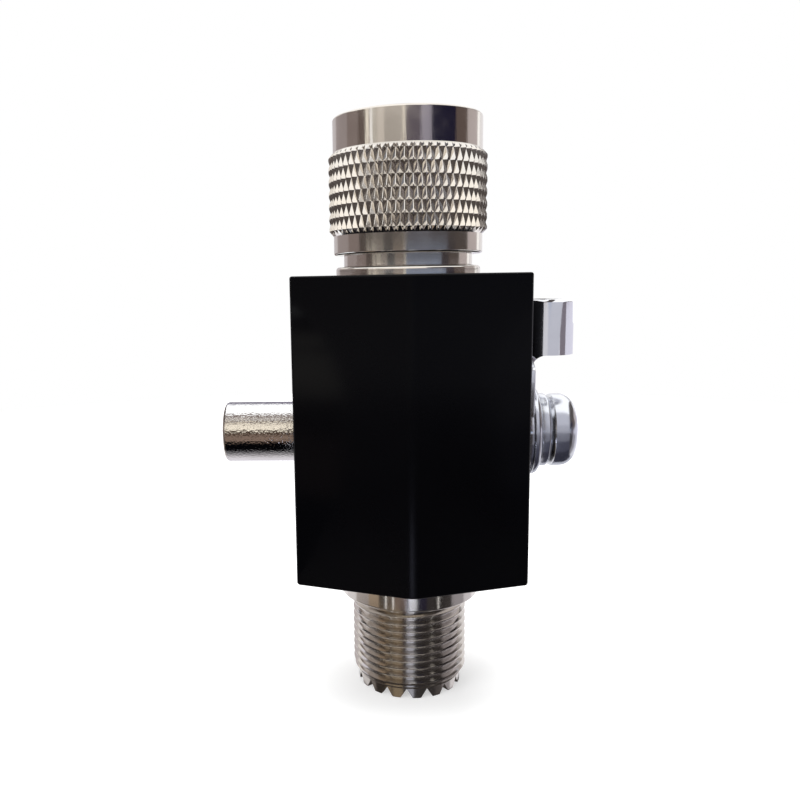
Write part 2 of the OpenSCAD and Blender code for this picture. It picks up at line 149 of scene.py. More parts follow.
class NutSizes(bpy.types.PropertyGroup):
    """Sizes of the coupling nut"""

    lower_band_radius: length("Lower band radius", 9.845 * MM, "Radius of the band under the knurl")
    upper_band_radius: length("Upper band radius", 9.815 * MM, "Radius of the band above the knurl")
    lower_rim_round: length("Lower rim rounding", 0.3 * MM, "Rounding of the lower band's rim")
    upper_rim_round: length("Upper rim rounding", 0.28 * MM, "Rounding of the upper band's rim")
    knurl_rise: length("Knurl rise", 3.15 * MM, "Height of the knurl's full part above the lower rim")
    knurl_height: length("Knurl height", 9.35 * MM, "Height of the knurl's full part")
    knurl_chamfer: length("Knurl chamfer", 0.65 * MM, "Height of the chamfer at both ends of the knurl")
    knurl_bore: length("Knurl bore", 9.18 * MM, "Inner radius of the knurled ring, within the nut's wall")
    knurl_depth: length("Knurl depth", 0.42 * MM, "Depth of the grooves between the diamonds")
    ridge_round: length("Ridge rounding", 0.06 * MM, "Rounding of the diamonds' upright ridges")
    flat_top: bpy.props.FloatProperty(
        name="Flat top", description="Share of a diamond's width that its flat top takes",
        default=0.23, subtype="FACTOR", min=0, max=0.8
    )
    diamonds_around: count("Diamonds around", 60, "Number of diamonds in one turn of the knurl", least=24)
    diamond_rows: count("Diamond rows", 4, "Number of rows of cells along the knurl", least=2)
    diamond_height: length("Diamond height", 3.1 * MM, "Height of one diamond")
    knurl_turn: rotation("Knurl turn", -1.1, "Turn of the knurl about the coax axis")
    turning_radius: length("Turning radius", 8.58 * MM, "Radius of the bore that runs on the plug's neck")
    turning_depth: length("Turning depth", 5.95 * MM, "Depth of that bore from the lower rim")
    ring_groove_radius: length("Ring groove radius", 9.05 * MM, "Radius of the retaining ring's groove")
    ring_groove_rise: length("Ring groove rise", 3.6 * MM, "Height of that groove above the lower rim")
    ring_groove_width: length("Ring groove width", 1.2 * MM, "Width of that groove")
    thread_minor: length("Thread minor radius", 7.4 * MM, "Radius over the crests of the inner thread")
    thread_major: length("Thread major radius", 7.96 * MM, "Radius at the roots of the inner thread")
    mouth_chamfer: length("Mouth chamfer", 0.7 * MM, "Chamfer at the mouth of the inner thread")


class SocketSizes(bpy.types.PropertyGroup):
    """Sizes of the socket's shell"""

    thread_radius: length(
        "Thread radius", MOUNTS["socket_thread"]["r_mm"] * MM, "Outside radius of the thread"
    )
    thread_length: length("Thread length", MOUNTS["socket_thread"]["length_mm"] * MM, "Length of the thread")
    thread_pitch: length("Thread pitch", 25.4 / 24 * MM, "Distance from crest to crest")
    thread_depth: length("Thread depth", 0.62 * MM, "Depth of the thread's groove")
    thread_end_round: length("Thread end rounding", 0.08 * MM, "Rounding of the thread's lower end")
    relief: length("Relief", 1.0 * MM, "Plain length between the collar and the thread")
    relief_slope: length("Relief slope", 0.372 * MM, "Length of the slope down to the relief's floor")
    collar_height: length("Collar height", BLOCK_LOW.z, "Height of the collar under the block")
    collar_round: length("Collar rounding", 0.24 * MM, "Rounding of the collar's lower edge")
    dull_below: length("Dull below", -0.3 * MM, "Height under which the plate is duller")
    crown_radius: length("Crown radius", 7.2 * MM, "Outside radius of the toothed crown")
    crown_cone: length("Crown cone", 1.10625 * MM, "Height of the cone from the thread to the crown")
    teeth: count("Teeth", 16, "Number of teeth on the crown, an even number", least=4)
    notch_depth: length("Notch depth", 1.35 * MM, "Depth of the notches between the teeth")
    tooth_tip: length("Tooth tip", 1.08 * MM, "Width of a tooth at its tip")
    tooth_round: length("Tooth rounding", 0.06 * MM, "Rounding of the crown's rim")
    crown_turn: rotation("Crown turn", -4.9, "Turn of the crown about the coax axis")
    mouth_radius: length("Mouth radius", 6.2 * MM, "Radius of the barrel's open end")
    lip_radius: length("Lip radius", 5.4 * MM, "Radius of the lip that keeps the insulator in")
    lip_low: length("Lip low", -7.6 * MM, "Height of the lip's lower face")
    lip_height: length("Lip height", 1.2 * MM, "Thickness of that lip")
    spigot_radius: length("Spigot radius", 7.47 * MM, "Radius of the spigot inside the block")


class SideSizes(bpy.types.PropertyGroup):
    """Sizes of the gas tube holder, the ground screw, its washers and the lug"""

    cap_round: length("Cap rounding", 0.45 * MM, "Rounding of the cap's outer end")
    cap_inner_round: length("Cap inner rounding", 0.35 * MM, "Rounding of the cap's inner end")
    cap_pocket_radius: length("Cap pocket radius", 2.4 * MM, "Radius of the spring's pocket in the cap")
    cap_pocket_depth: length("Cap pocket depth", 3.5 * MM, "Depth of that pocket")
    cap_thread_length: length("Cap thread length", 5.1 * MM, "Length of the cap's thread")
    cap_thread_pitch: length("Cap thread pitch", 1.0 * MM, "Pitch of the cap's thread")
    cap_thread_depth: length("Cap thread depth", 0.54 * MM, "Depth of the cap's thread")
    shank_radius: length("Shank radius", 2.45 * MM, "Outside radius of the screw's thread")
    screw_pitch: length("Screw pitch", 0.8 * MM, "Pitch of the screw's thread")
    screw_thread_depth: length("Screw thread depth", 0.464 * MM, "Depth of the screw's thread")
    point_inset: length("Point inset", 0.45 * MM, "Depth of the chamfer at the screw's tip")
    point_length: length("Point length", 0.5 * MM, "Length of that chamfer")
    head_height: length("Head height", 3.8 * MM, "Height of the screw's head")
    head_inset: length("Head inset", 0.3 * MM, "Inset of the head's seat")
    head_edge_round: length("Head edge rounding", 0.5 * MM, "Rounding of the head's lower edge")
    head_round: length("Head rounding", 2.0 * MM, "Rounding of the head's shoulder")
    head_dome: length("Head dome", 0.15 * MM, "Rise of the head's domed top")
    recess_span: length("Recess span", 4.6 * MM, "Length of the cross recess")
    recess_width: length("Recess width", 1.1 * MM, "Width of each arm of the recess")
    recess_depth: length("Recess depth", 1.9 * MM, "Depth of the recess")
    recess_taper: bpy.props.FloatVectorProperty(
        name="Recess taper", description="Share of an arm's length and width that its floor keeps",
        default=(0.55, 0.8), size=2, min=0, max=1
    )
    washer_bore: length("Washer bore", 2.63 * MM, "Radius of the hole in both washers")
    flat_washer_round: length("Flat washer rounding", 0.95 * MM, "Rounding of the flat washer's rim")
    spring_washer_round: length("Spring washer rounding", 0.5 * MM, "Rounding of the spring washer's rim")
    split_width: length("Split width", 0.5 * MM, "Width of the spring washer's split")
    split_slant: rotation("Split slant", 25, "Slant of the split")
    lug_sheet: length("Lug sheet", 1.3 * MM, "Thickness of the lug's sheet")
    lug_eye_radius: length("Lug eye radius", 6.0 * MM, "Outside radius of the lug's eye")
    lug_eye_round: length("Lug eye rounding", 0.2 * MM, "Rounding of the eye's front edge")
    lug_hole_radius: length("Lug hole radius", 2.7 * MM, "Radius of the hole in the eye")
    lug_neck_half: length("Lug neck half width", 5.4 * MM, "Half the width of the tongue below the barrel")
    lug_top_half: length("Lug top half width", 2.6 * MM, "Half the width of the tongue's top")
    lug_tongue_low: length("Lug tongue low", 2.5 * MM, "Height above the screw where the tongue starts")
    lug_barrel_radius: length("Lug barrel radius", 3.55 * MM, "Outside radius of the wire barrel")
    lug_bore_radius: length(
        "Lug bore radius", MOUNTS["lug_barrel"]["r_mm"] * MM, "Radius of the barrel's bore"
    )
    lug_barrel_foot: length("Lug barrel foot", 10.45 * MM, "Height of the barrel's lower end above the screw")
    lug_shoulder_round: length("Lug shoulder rounding", 1.0 * MM, "Rounding of the tongue's two shoulders")
    lug_rim_round: length("Lug rim rounding", 0.35 * MM, "Rounding of the barrel's upper rim")
    lug_mouth_round: length("Lug mouth rounding", 0.2 * MM, "Rounding of the bore's upper edge")
    lug_fillet: length("Lug fillet", 1.7 * MM, "Radius of the sweep from the tongue to the barrel")


class Finishes(bpy.types.PropertyGroup):
    """Base colours of the finishes"""

    black: colour("Black coat", (0.0013, 0.0013, 0.0022), "Satin black coat of the block")
    nickel: colour("Nickel", (0.72, 0.685, 0.64), "Bright nickel plate")
    zinc: colour("Zinc", (0.76, 0.78, 0.83), "Bright zinc plate of the screw and washers")
    tin: colour("Tin", (0.82, 0.83, 0.86), "Bright tin plate of the lug")
    brass: colour("Brass", (0.78, 0.60, 0.31), "Bare brass")
    steel: colour("Spring steel", (0.52, 0.53, 0.55), "Spring steel")
    insulator: colour("Insulator", (0.86, 0.86, 0.83), "White insulator")
    ceramic: colour("Ceramic", (0.82, 0.72, 0.66), "Ceramic of the gas tube")


def only(obj):
    """Leaves obj as the only selected object, and active."""
    bpy.ops.object.select_all(action="DESELECT")
    obj.select_set(True)
    bpy.context.view_layer.objects.active = obj


def modify(obj, kind, **settings):
    """Adds a modifier with these settings and applies it."""
    only(obj)
    bpy.ops.object.modifier_add(type=kind)
    modifier = obj.modifiers[-1]
    for key, value in settings.items():
        setattr(modifier, key, value)
    bpy.ops.object.modifier_apply(modifier=modifier.name)
    return obj


def combine(obj, tool, operation):
    """Cuts obj with a tool, joins the tool to it, or trims it to the tool, and deletes the tool."""
    modify(obj, "BOOLEAN", operation=operation, object=tool, solver="MANIFOLD")
    only(tool)
    bpy.ops.object.delete()
    if not obj.data.polygons:
        raise RuntimeError(f"nothing is left of {obj.name} after {operation.lower()}")
    return obj


def cut(obj, tool):
    """Takes the tool's shape out of obj."""
    return combine(obj, tool, "DIFFERENCE")


def add(name, primitive, **settings):
    """Adds a primitive with nothing else selected, and names it."""
    bpy.ops.object.select_all(action="DESELECT")
    primitive(**settings)
    obj = bpy.context.object
    obj.name = name
    obj.data.name = name
    return obj


def close_up():
    """In edit mode: merges doubles and turns every face outwards."""
    bpy.ops.mesh.select_all(action="SELECT")
    bpy.ops.mesh.remove_doubles(threshold=WELD)
    bpy.ops.mesh.select_all(action="SELECT")
    bpy.ops.mesh.normals_make_consistent(inside=False)


def leave_edit():
    """Tidies the mesh and goes back to object mode."""
    bpy.ops.mesh.select_mode(type="VERT")
    close_up()
    bpy.ops.object.mode_set(mode="OBJECT")


def pick(obj, kind, wanted):
    """Enters edit mode with only those edges or faces selected whose corners are wanted."""
    only(obj)
    bpy.ops.object.mode_set(mode="EDIT")
    bpy.ops.mesh.select_mode(type=kind)
    bpy.ops.mesh.select_all(action="DESELECT")
    bpy.ops.object.mode_set(mode="OBJECT")
    mesh = obj.data
    for item in mesh.edges if kind == "EDGE" else mesh.polygons:
        item.select = wanted([mesh.vertices[i] for i in item.vertices])
    bpy.ops.object.mode_set(mode="EDIT")


def bevel(obj, wanted, offset, segments):
    """Rounds the edges whose corners are wanted."""
    pick(obj, "EDGE", wanted)
    bpy.ops.mesh.bevel(offset=offset, segments=segments, affect="EDGES", clamp_overlap=False)
    leave_edit()


def rises(corners):
    """True for an edge or face that isn't level."""
    heights = [corner.co.z for corner in corners]
    return max(heights) - min(heights) > WELD


def lay(obj, turn=(0, 0, 0), place=(0, 0, 0)):
    """Turns and places a mesh, and leaves its object at the origin."""
    only(obj)
    obj.rotation_euler = turn
    obj.location = place
    bpy.ops.object.transform_apply(location=True, rotation=True, scale=True)
    return obj


def rounded(corners, steps=7):
    """Outline through (radius, along, rounding) corners, with an arc at each corner that has a rounding."""
    points = []
    for i, (radius, along, rounding) in enumerate(corners):
        here = Vector((radius, along))
        if not rounding:
            points.append(here)
            continue
        back = (Vector(corners[i - 1][:2]) - here).normalized()
        ahead = (Vector(corners[(i + 1) % len(corners)][:2]) - here).normalized()
        half = back.angle(ahead) / 2
        centre = here + (back + ahead).normalized() * rounding / math.sin(half)
        start = here + back * rounding / math.tan(half) - centre
        turn = math.pi - 2 * half
        if back.x * ahead.y - back.y * ahead.x > 0:
            turn = -turn
        for k in range(steps + 1):
            angle = turn * k / steps
            points.append(centre + Matrix.Rotation(angle, 2) @ start)
    return points


def draw(name, spots, closed=True):
    """Draws edges through points, and stays in edit mode with all of them selected."""
    obj = add(name, bpy.ops.mesh.primitive_plane_add, size=MM)
    bpy.ops.object.mode_set(mode="EDIT")
    bpy.ops.mesh.select_mode(type="VERT")
    bpy.ops.mesh.merge(type="CENTER")
    bpy.ops.transform.translate(value=spots[0])
    for here, there in zip(spots, spots[1:] + (spots[:1] if closed else [])):
        bpy.ops.mesh.extrude_region_move(TRANSFORM_OT_translate={"value": there - here})
    bpy.ops.mesh.select_all(action="SELECT")
    bpy.ops.mesh.remove_doubles(threshold=WELD)
    bpy.ops.mesh.select_all(action="SELECT")
    return obj


def prism(name, corners, along):
    """Fills an outline of corners and pulls it out along a vector."""
    obj = draw(name, [Vector(corner) for corner in corners])
    bpy.ops.mesh.edge_face_add()
    bpy.ops.mesh.extrude_region_move(TRANSFORM_OT_translate={"value": along})
    leave_edit()
    return obj


def lathe(name, corners, axis="Z", steps=160):
    """Spins an outline of (radius, along, rounding) corners about the coax axis or the side axis."""
    outline = rounded(corners)
    if axis == "Z":
        spots = [Vector((p.x, 0, p.y)) for p in outline]
        centre, direction = (0, 0, 0), (0, 0, 1)
    else:
        spots = [Vector((p.y, 0, SIDE_Z + p.x)) for p in outline]
        centre, direction = (0, 0, SIDE_Z), (1, 0, 0)
    on_axis = outline[0].x < WELD and outline[-1].x < WELD
    obj = draw(name, spots, closed=not on_axis)
    bpy.ops.mesh.spin(steps=steps, angle=2 * math.pi, center=centre, axis=direction)
    close_up()
    bpy.ops.object.mode_set(mode="OBJECT")
    return obj


def rod(radius, start, end, direction="Z", vertices=96):
    """A plain cylinder on the coax axis or the side axis, as a tool for a hole."""
    cylinder = bpy.ops.mesh.primitive_cylinder_add
    obj = add("rod", cylinder, vertices=vertices, radius=radius, depth=end - start)
    middle = (start + end) / 2
    if direction == "Z":
        return lay(obj, place=(0, 0, middle))
    return lay(obj, turn=(0, math.pi / 2, 0), place=(middle, 0, SIDE_Z))


def brick(low, high):
    """A plain box between two corners, as a tool for a cut."""
    low, high = Vector(low), Vector(high)
    obj = add("brick", bpy.ops.mesh.primitive_cube_add, size=1)
    obj.scale = high - low
    return lay(obj, place=(low + high) / 2)


# Half the angle between a thread's flanks
FLANK_ANGLE = math.radians(30)
# Half the width of a thread's root, and the size of the rounding beside its crest, as shares of the pitch
ROOT_SHARE = 1 / 12
CREST_SHARE = 0.04
# That rounding's points: how far below the crest and how far beyond the flank, as shares of its size
CREST_ROUND = ((1, 0), (0.35, 0.5), (0.05, 1.2), (-1, 1.5))


def thread_bar(crest, root, pitch, turns, start, steps=72):
    """A bar wound along a right-handed helix about Z: the tool that cuts a thread's groove.
    Between two turns it leaves a crest whose edges are rounded."""
    out = 1 if crest > root else -1
    root_half = pitch * ROOT_SHARE
    easing = pitch * CREST_SHARE
    half = root_half + (abs(crest - root) - easing) * math.tan(FLANK_ANGLE)
    side = [(root, root_half)]
    for below, beyond in CREST_ROUND:
        side.append((crest - out * easing * below, half + easing * beyond))
    shape = [(radius, -along) for radius, along in reversed(side)] + side
    obj = draw("thread_bar", [Vector((radius, 0, start + along)) for radius, along in shape])
    bpy.ops.object.mode_set(mode="OBJECT")
    modify(
        obj, "SCREW", angle=2 * math.pi, screw_offset=pitch, iterations=turns,
        steps=steps, render_steps=steps, use_smooth_shade=False
    )
    bpy.ops.object.mode_set(mode="EDIT")
    bpy.ops.mesh.select_all(action="SELECT")
    bpy.ops.mesh.fill_holes(sides=0)
    close_up()
    bpy.ops.object.mode_set(mode="OBJECT")
    return obj


def smooth(obj, angle=35):
    """Smooth shading, with edges sharper than angle degrees left sharp."""
    only(obj)
    bpy.ops.object.shade_smooth_by_angle(angle=math.radians(angle))
    return modify(obj, "WEIGHTED_NORMAL", keep_sharp=True)


def dress(obj, body, node, material):
    """A finished piece takes a node's place on its body, with its finish."""
    obj.data.materials.clear()
    obj.data.materials.append(material)
    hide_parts(node)
    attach(obj, body)
    return obj


def new_group(name, sizes, masks):
    """A shader node group that reads a vector and named sizes and puts out named masks, with its two ends."""
    group = bpy.data.node_groups.new(name, "ShaderNodeTree")
    group.interface.new_socket("Vector", in_out="INPUT", socket_type="NodeSocketVector")
    for socket in sizes:
        group.interface.new_socket(socket, in_out="INPUT", socket_type="NodeSocketFloat")
    for socket in masks:
        group.interface.new_socket(socket, in_out="OUTPUT", socket_type="NodeSocketFloat")
    return group, group.nodes.new("NodeGroupInput").outputs, group.nodes.new("NodeGroupOutput").inputs


def fill(made, inputs):
    """Sets a node's inputs, with an underscore for each space of their names."""
    for key, value in inputs.items():
        made.inputs[key.replace("_", " ")].default_value = value
    return made


def node(tree, kind, **inputs):
    """A node of that kind with these input values."""
    return fill(tree.nodes.new(kind), inputs)


def maths(tree, operation, first, second):
    """A Math node on two values, each of them a number or another node's output."""
    made = node(tree, "ShaderNodeMath")
    made.operation = operation
    for socket, value in zip(made.inputs, (first, second)):
        if isinstance(value, bpy.types.NodeSocket):
            tree.links.new(value, socket)
        else:
            socket.default_value = value
    return made.outputs[0]


def noise(tree, where, size=None, **inputs):
    """Noise at those coordinates, with cells of a size that another node gives, or with its own scale."""
    made = node(tree, "ShaderNodeTexNoise", **inputs)
    tree.links.new(where, made.inputs["Vector"])
    if size is not None:
        tree.links.new(maths(tree, "DIVIDE", 1, size), made.inputs["Scale"])
    return made.outputs["Fac"]


def mapped(tree, where, **inputs):
    """Coordinates that are turned or scaled."""
    made = node(tree, "ShaderNodeMapping", **inputs)
    tree.links.new(where, made.inputs["Vector"])
    return made.outputs["Vector"]


# Scale of the noise that makes turning lines: long round the axis and short along it
TURNING_SCALE = (400, 400, 26000)


def plating_group(name):
    """Ripple of a plated surface, with the lines that a turning tool left under it and faint smudges."""
    group, start, end = new_group(name, ("Ripple Size", "Line Share"), ("Height", "Smudge"))
    where = start["Vector"]
    ripple = noise(group, where, start["Ripple Size"], Detail=2.0, Roughness=0.45)
    along = mapped(group, where, Scale=TURNING_SCALE)
    lines = noise(group, along, Scale=1.0, Detail=2.0, Roughness=0.6)
    blend = node(group, "ShaderNodeMix")
    group.links.new(start["Line Share"], blend.inputs["Factor"])
    group.links.new(ripple, blend.inputs["A"])
    group.links.new(lines, blend.inputs["B"])
    group.links.new(blend.outputs["Result"], end["Height"])
    smudge = noise(group, where, Scale=240.0, Detail=4.0, Roughness=0.65, Distortion=0.6)
    group.links.new(smudge, end["Smudge"])
    return group


def coat_group(name):
    """Fine grain of a sprayed and baked coat, with a slow change of sheen."""
    group, start, end = new_group(name, ("Grain Size",), ("Height", "Sheen Change"))
    where = start["Vector"]
    grain = noise(group, where, start["Grain Size"], Detail=3.0, Roughness=0.55)
    group.links.new(grain, end["Height"])
    change = noise(group, where, Scale=90.0, Detail=3.0, Roughness=0.5)
    group.links.new(change, end["Sheen Change"])
    return group


def place_group(tree, where, name, build, **inputs):
    """Puts a shared group, which is built once, into a material with its own values."""
    placed = tree.nodes.new("ShaderNodeGroup")
    placed.node_tree = bpy.data.node_groups.get(name) or build(name)
    fill(placed, inputs)
    tree.links.new(where, placed.inputs["Vector"])
    return placed.outputs


def bare_tree(owner):
    """The emptied node tree of a material or world."""
    owner.use_nodes = True
    owner.node_tree.nodes.clear()
    return owner.node_tree


def new_material(name):
    """A material with its object coordinates and an empty Principled shader."""
    material = bpy.data.materials.new(name)
    tree = bare_tree(material)
    shader = tree.nodes.new("ShaderNodeBsdfPrincipled")
    output = tree.nodes.new("ShaderNodeOutputMaterial")
    tree.links.new(shader.outputs["BSDF"], output.inputs["Surface"])
    where = tree.nodes.new("ShaderNodeTexCoord")
    return material, tree, shader, where.outputs["Object"]


def spread(tree, mask, low, high):
    """Maps a mask from its middle range to values from low to high."""
    change = node(tree, "ShaderNodeMapRange", From_Min=0.3, From_Max=0.7, To_Min=low, To_Max=high)
    tree.links.new(mask, change.inputs["Value"])
    return change.outputs["Result"]


def shade(tree, shader, mask, base, darkest, sheen):
    """Base colour and roughness by a mask: down to a share of the colour, and over the sheen's range."""
    mix = node(tree, "ShaderNodeMix")
    mix.data_type = "RGBA"
    mix.inputs["A"].default_value = (*(darkest * c for c in base), 1)
    mix.inputs["B"].default_value = (*base, 1)
    tree.links.new(spread(tree, mask, 0, 1), mix.inputs["Factor"])
    tree.links.new(mix.outputs["Result"], shader.inputs["Base Color"])
    tree.links.new(spread(tree, mask, *sheen), shader.inputs["Roughness"])


def bump(tree, height, distance, shader):
    """Bump of that depth in metres on a shader."""
    relief = node(tree, "ShaderNodeBump", Strength=1.0, Distance=distance)
    tree.links.new(height, relief.inputs["Height"])
    tree.links.new(relief.outputs["Normal"], shader.inputs["Normal"])


def finishes():
    """The base colours that the sidebar holds."""
    return bpy.context.scene.arrestor_finishes


def plated(name, base, sheen, ripple, depth, lines=0.0, along="Z"):
    """Plated metal, made once: base colour, roughness range, ripple size and depth, and turning lines."""
    if name in bpy.data.materials:
        return bpy.data.materials[name]
    material, tree, shader, where = new_material(name)
    if along == "X":
        where = mapped(tree, where, Rotation=(0, math.pi / 2, 0))
    plating = place_group(
        tree, where, "Plated Surface", plating_group, Ripple_Size=ripple, Line_Share=lines
    )
    shader.inputs["Metallic"].default_value = 1
    shade(tree, shader, plating["Smudge"], base, darkest=0.94, sheen=sheen)
    bump(tree, plating["Height"], depth, shader)
    return material


def coated(name, base, sheen, grain, depth, specular):
    """Grained surface, made once: base colour, roughness range, grain size and depth, specular level."""
    if name in bpy.data.materials:
        return bpy.data.materials[name]
    material, tree, shader, where = new_material(name)
    coat = place_group(tree, where, "Grained Surface", coat_group, Grain_Size=grain)
    shader.inputs["Specular IOR Level"].default_value = specular
    shade(tree, shader, coat["Sheen Change"], base, darkest=0.9, sheen=sheen)
    bump(tree, coat["Height"], depth, shader)
    return material


class ARRESTOR_OT_block(bpy.types.Operator):
    """Makes the black block with its ridges, rounded edges and holes"""

    bl_idname = "arrestor.block"
    bl_label = "Block"

    def execute(self, context):
        sizes = context.scene.arrestor_block
        half_side = sizes.side_depth / 2
        reach = self.ridge_reach(sizes)
        low, high = BLOCK_LOW.z, BLOCK_HIGH.z
        block = prism("block", [
            (BLOCK_HIGH.x, -half_side, low), (BLOCK_HIGH.x, half_side, low), (0, reach, low),
            (BLOCK_LOW.x, half_side, low), (BLOCK_LOW.x, -half_side, low), (0, -reach, low),
        ], (0, 0, high - low))
        ridge_turn = math.atan2(reach - half_side, BLOCK_HIGH.x) * 2
        corner_turn = math.pi / 2 - ridge_turn / 2
        bevel(
            block, lambda ends: rises(ends) and abs(ends[0].co.x) < WELD,
            sizes.ridge_round * math.tan(ridge_turn / 2), segments=14
        )
        bevel(
            block, lambda ends: rises(ends) and abs(ends[0].co.x) > BLOCK_HIGH.x / 2,
            sizes.corner_round * math.tan(corner_turn / 2), segments=5
        )
        bevel(block, lambda ends: not rises(ends), sizes.edge_round, segments=4)
        cut(block, rod(sizes.cavity_radius, low - PAST, high + PAST))
        cut(block, rod(sizes.spigot_radius, low - PAST, low + sizes.spigot_depth))
        cut(block, rod(sizes.spigot_radius, high - sizes.spigot_depth, high + PAST))
        cap_end = BLOCK_LOW.x + sizes.cap_hole_depth
        cut(block, rod(sizes.cap_hole_radius, BLOCK_LOW.x - PAST, cap_end, "X"))
        cut(block, rod(sizes.tube_hole_radius, cap_end - PAST, 0, "X"))
        screw_end = BLOCK_HIGH.x - sizes.screw_hole_depth
        cut(block, rod(sizes.screw_hole_radius, screw_end, BLOCK_HIGH.x + PAST, "X"))
        smooth(block, angle=25)
        dress(block, "arrestor_body", "body_block", black_coat())
        return {"FINISHED"}

    def ridge_reach(self, sizes):
        """Depth of the ridge's sharp corner, settled in rounds from the rounded ridge's depth."""
        reach = BLOCK_HIGH.y
        for _ in range(20):
            lean = math.atan2(reach - sizes.side_depth / 2, BLOCK_HIGH.x)
            reach = BLOCK_HIGH.y + sizes.ridge_round * (1 / math.cos(lean) - 1)
        return reach


class ARRESTOR_OT_nut(bpy.types.Operator):
    """Makes the coupling nut with its diamond knurl and inner thread"""

    bl_idname = "arrestor.nut"
    bl_label = "Coupling nut"

    def execute(self, context):
        sizes = context.scene.arrestor_nut
        pitch = context.scene.arrestor_socket.thread_pitch
        low, high = NUT_LOW.z, NUT_HIGH.z
        shoulder = low + sizes.turning_depth
        groove = low + sizes.ring_groove_rise
        knurl_low = low + sizes.knurl_rise
        step = knurl_low + sizes.knurl_height / 2
        chamfer = sizes.mouth_chamfer
        nut = lathe("knurled_nut", [
            (sizes.turning_radius, low, EASED),
            (sizes.lower_band_radius, low, sizes.lower_rim_round),
            (sizes.lower_band_radius, step, 0),
            (sizes.upper_band_radius, step, 0),
            (sizes.upper_band_radius, high, sizes.upper_rim_round),
            (sizes.thread_minor + chamfer, high, EASED),
            (sizes.thread_minor, high - chamfer, BROKEN),
            (sizes.thread_minor, shoulder, 0),
            (sizes.turning_radius, shoulder, 0),
            (sizes.turning_radius, groove + sizes.ring_groove_width, 0),
            (sizes.ring_groove_radius, groove + sizes.ring_groove_width, 0),
            (sizes.ring_groove_radius, groove, 0),
            (sizes.turning_radius, groove, 0),
        ])
        combine(nut, self.knurl(sizes, knurl_low), "UNION")
        turns = math.ceil((high - shoulder) / pitch) + 2
        cut(nut, thread_bar(sizes.thread_minor, sizes.thread_major, pitch, turns, shoulder - pitch))
        smooth(nut, angle=18)
        dress(nut, "nut", "coupling_nut", nickel_plate())
        nut.data.materials.append(knurl_plate())
        for face in nut.data.polygons:
            rise = face.center.z - knurl_low
            outside = face.center.to_2d().length > sizes.lower_band_radius + MARGIN
            face.material_index = int(outside and 0 < rise < sizes.knurl_height)
        return {"FINISHED"}

    def knurl(self, sizes, knurl_low):
        """The knurled ring: a grid on a drum, turned to diamonds and each raised to a point.
        The envelope cuts the points flat and chamfers both ends."""
        chamfer = sizes.knurl_chamfer
        low = knurl_low - chamfer
        high = knurl_low + sizes.knurl_height + chamfer
        crest = NUT_HIGH.x
        root = crest - sizes.knurl_depth
        drum = add(
            "knurl", bpy.ops.mesh.primitive_cylinder_add, vertices=sizes.diamonds_around,
            radius=root, depth=sizes.diamond_rows * sizes.diamond_height
        )
        lay(drum, turn=(0, 0, sizes.knurl_turn), place=(0, 0, (low + high) / 2))
        self.grid_to_diamonds(drum, sizes.diamond_rows)
        pick(drum, "FACE", rises)
        bpy.ops.mesh.poke(offset=sizes.knurl_depth / (1 - sizes.flat_top), use_relative_offset=False)
        leave_edit()
        halfway = crest - sizes.knurl_depth / 2

        def of_ridge(ends):
            return rises(ends) and any(end.co.to_2d().length > halfway for end in ends)

        bevel(drum, of_ridge, sizes.ridge_round, segments=2)
        envelope = lathe("envelope", [
            (sizes.knurl_bore, low, 0),
            (sizes.lower_band_radius, low, 0),
            (crest, knurl_low, EASED),
            (crest, knurl_low + sizes.knurl_height, EASED),
            (sizes.upper_band_radius, high, 0),
            (sizes.knurl_bore, high, 0),
        ], steps=272)
        return combine(drum, envelope, "INTERSECT")

    def grid_to_diamonds(self, drum, rows):
        """Cuts the drum's wall into rows of cells, pokes each cell and drops the cells' own edges."""
        pick(drum, "EDGE", rises)
        bpy.ops.mesh.subdivide(number_cuts=rows - 1)
        bpy.ops.object.mode_set(mode="OBJECT")
        corners = len(drum.data.vertices)
        pick(drum, "FACE", rises)
        bpy.ops.mesh.poke()
        bpy.ops.object.mode_set(mode="OBJECT")
        heights = [vertex.co.z for vertex in drum.data.vertices]
        rims = (min(heights), max(heights))

        def of_cell(ends):
            on_rim = not rises(ends) and any(abs(ends[0].co.z - rim) < WELD for rim in rims)
            return max(end.index for end in ends) < corners and not on_rim

        pick(drum, "EDGE", of_cell)
        bpy.ops.mesh.dissolve_edges(use_verts=False)
        bpy.ops.object.mode_set(mode="OBJECT")


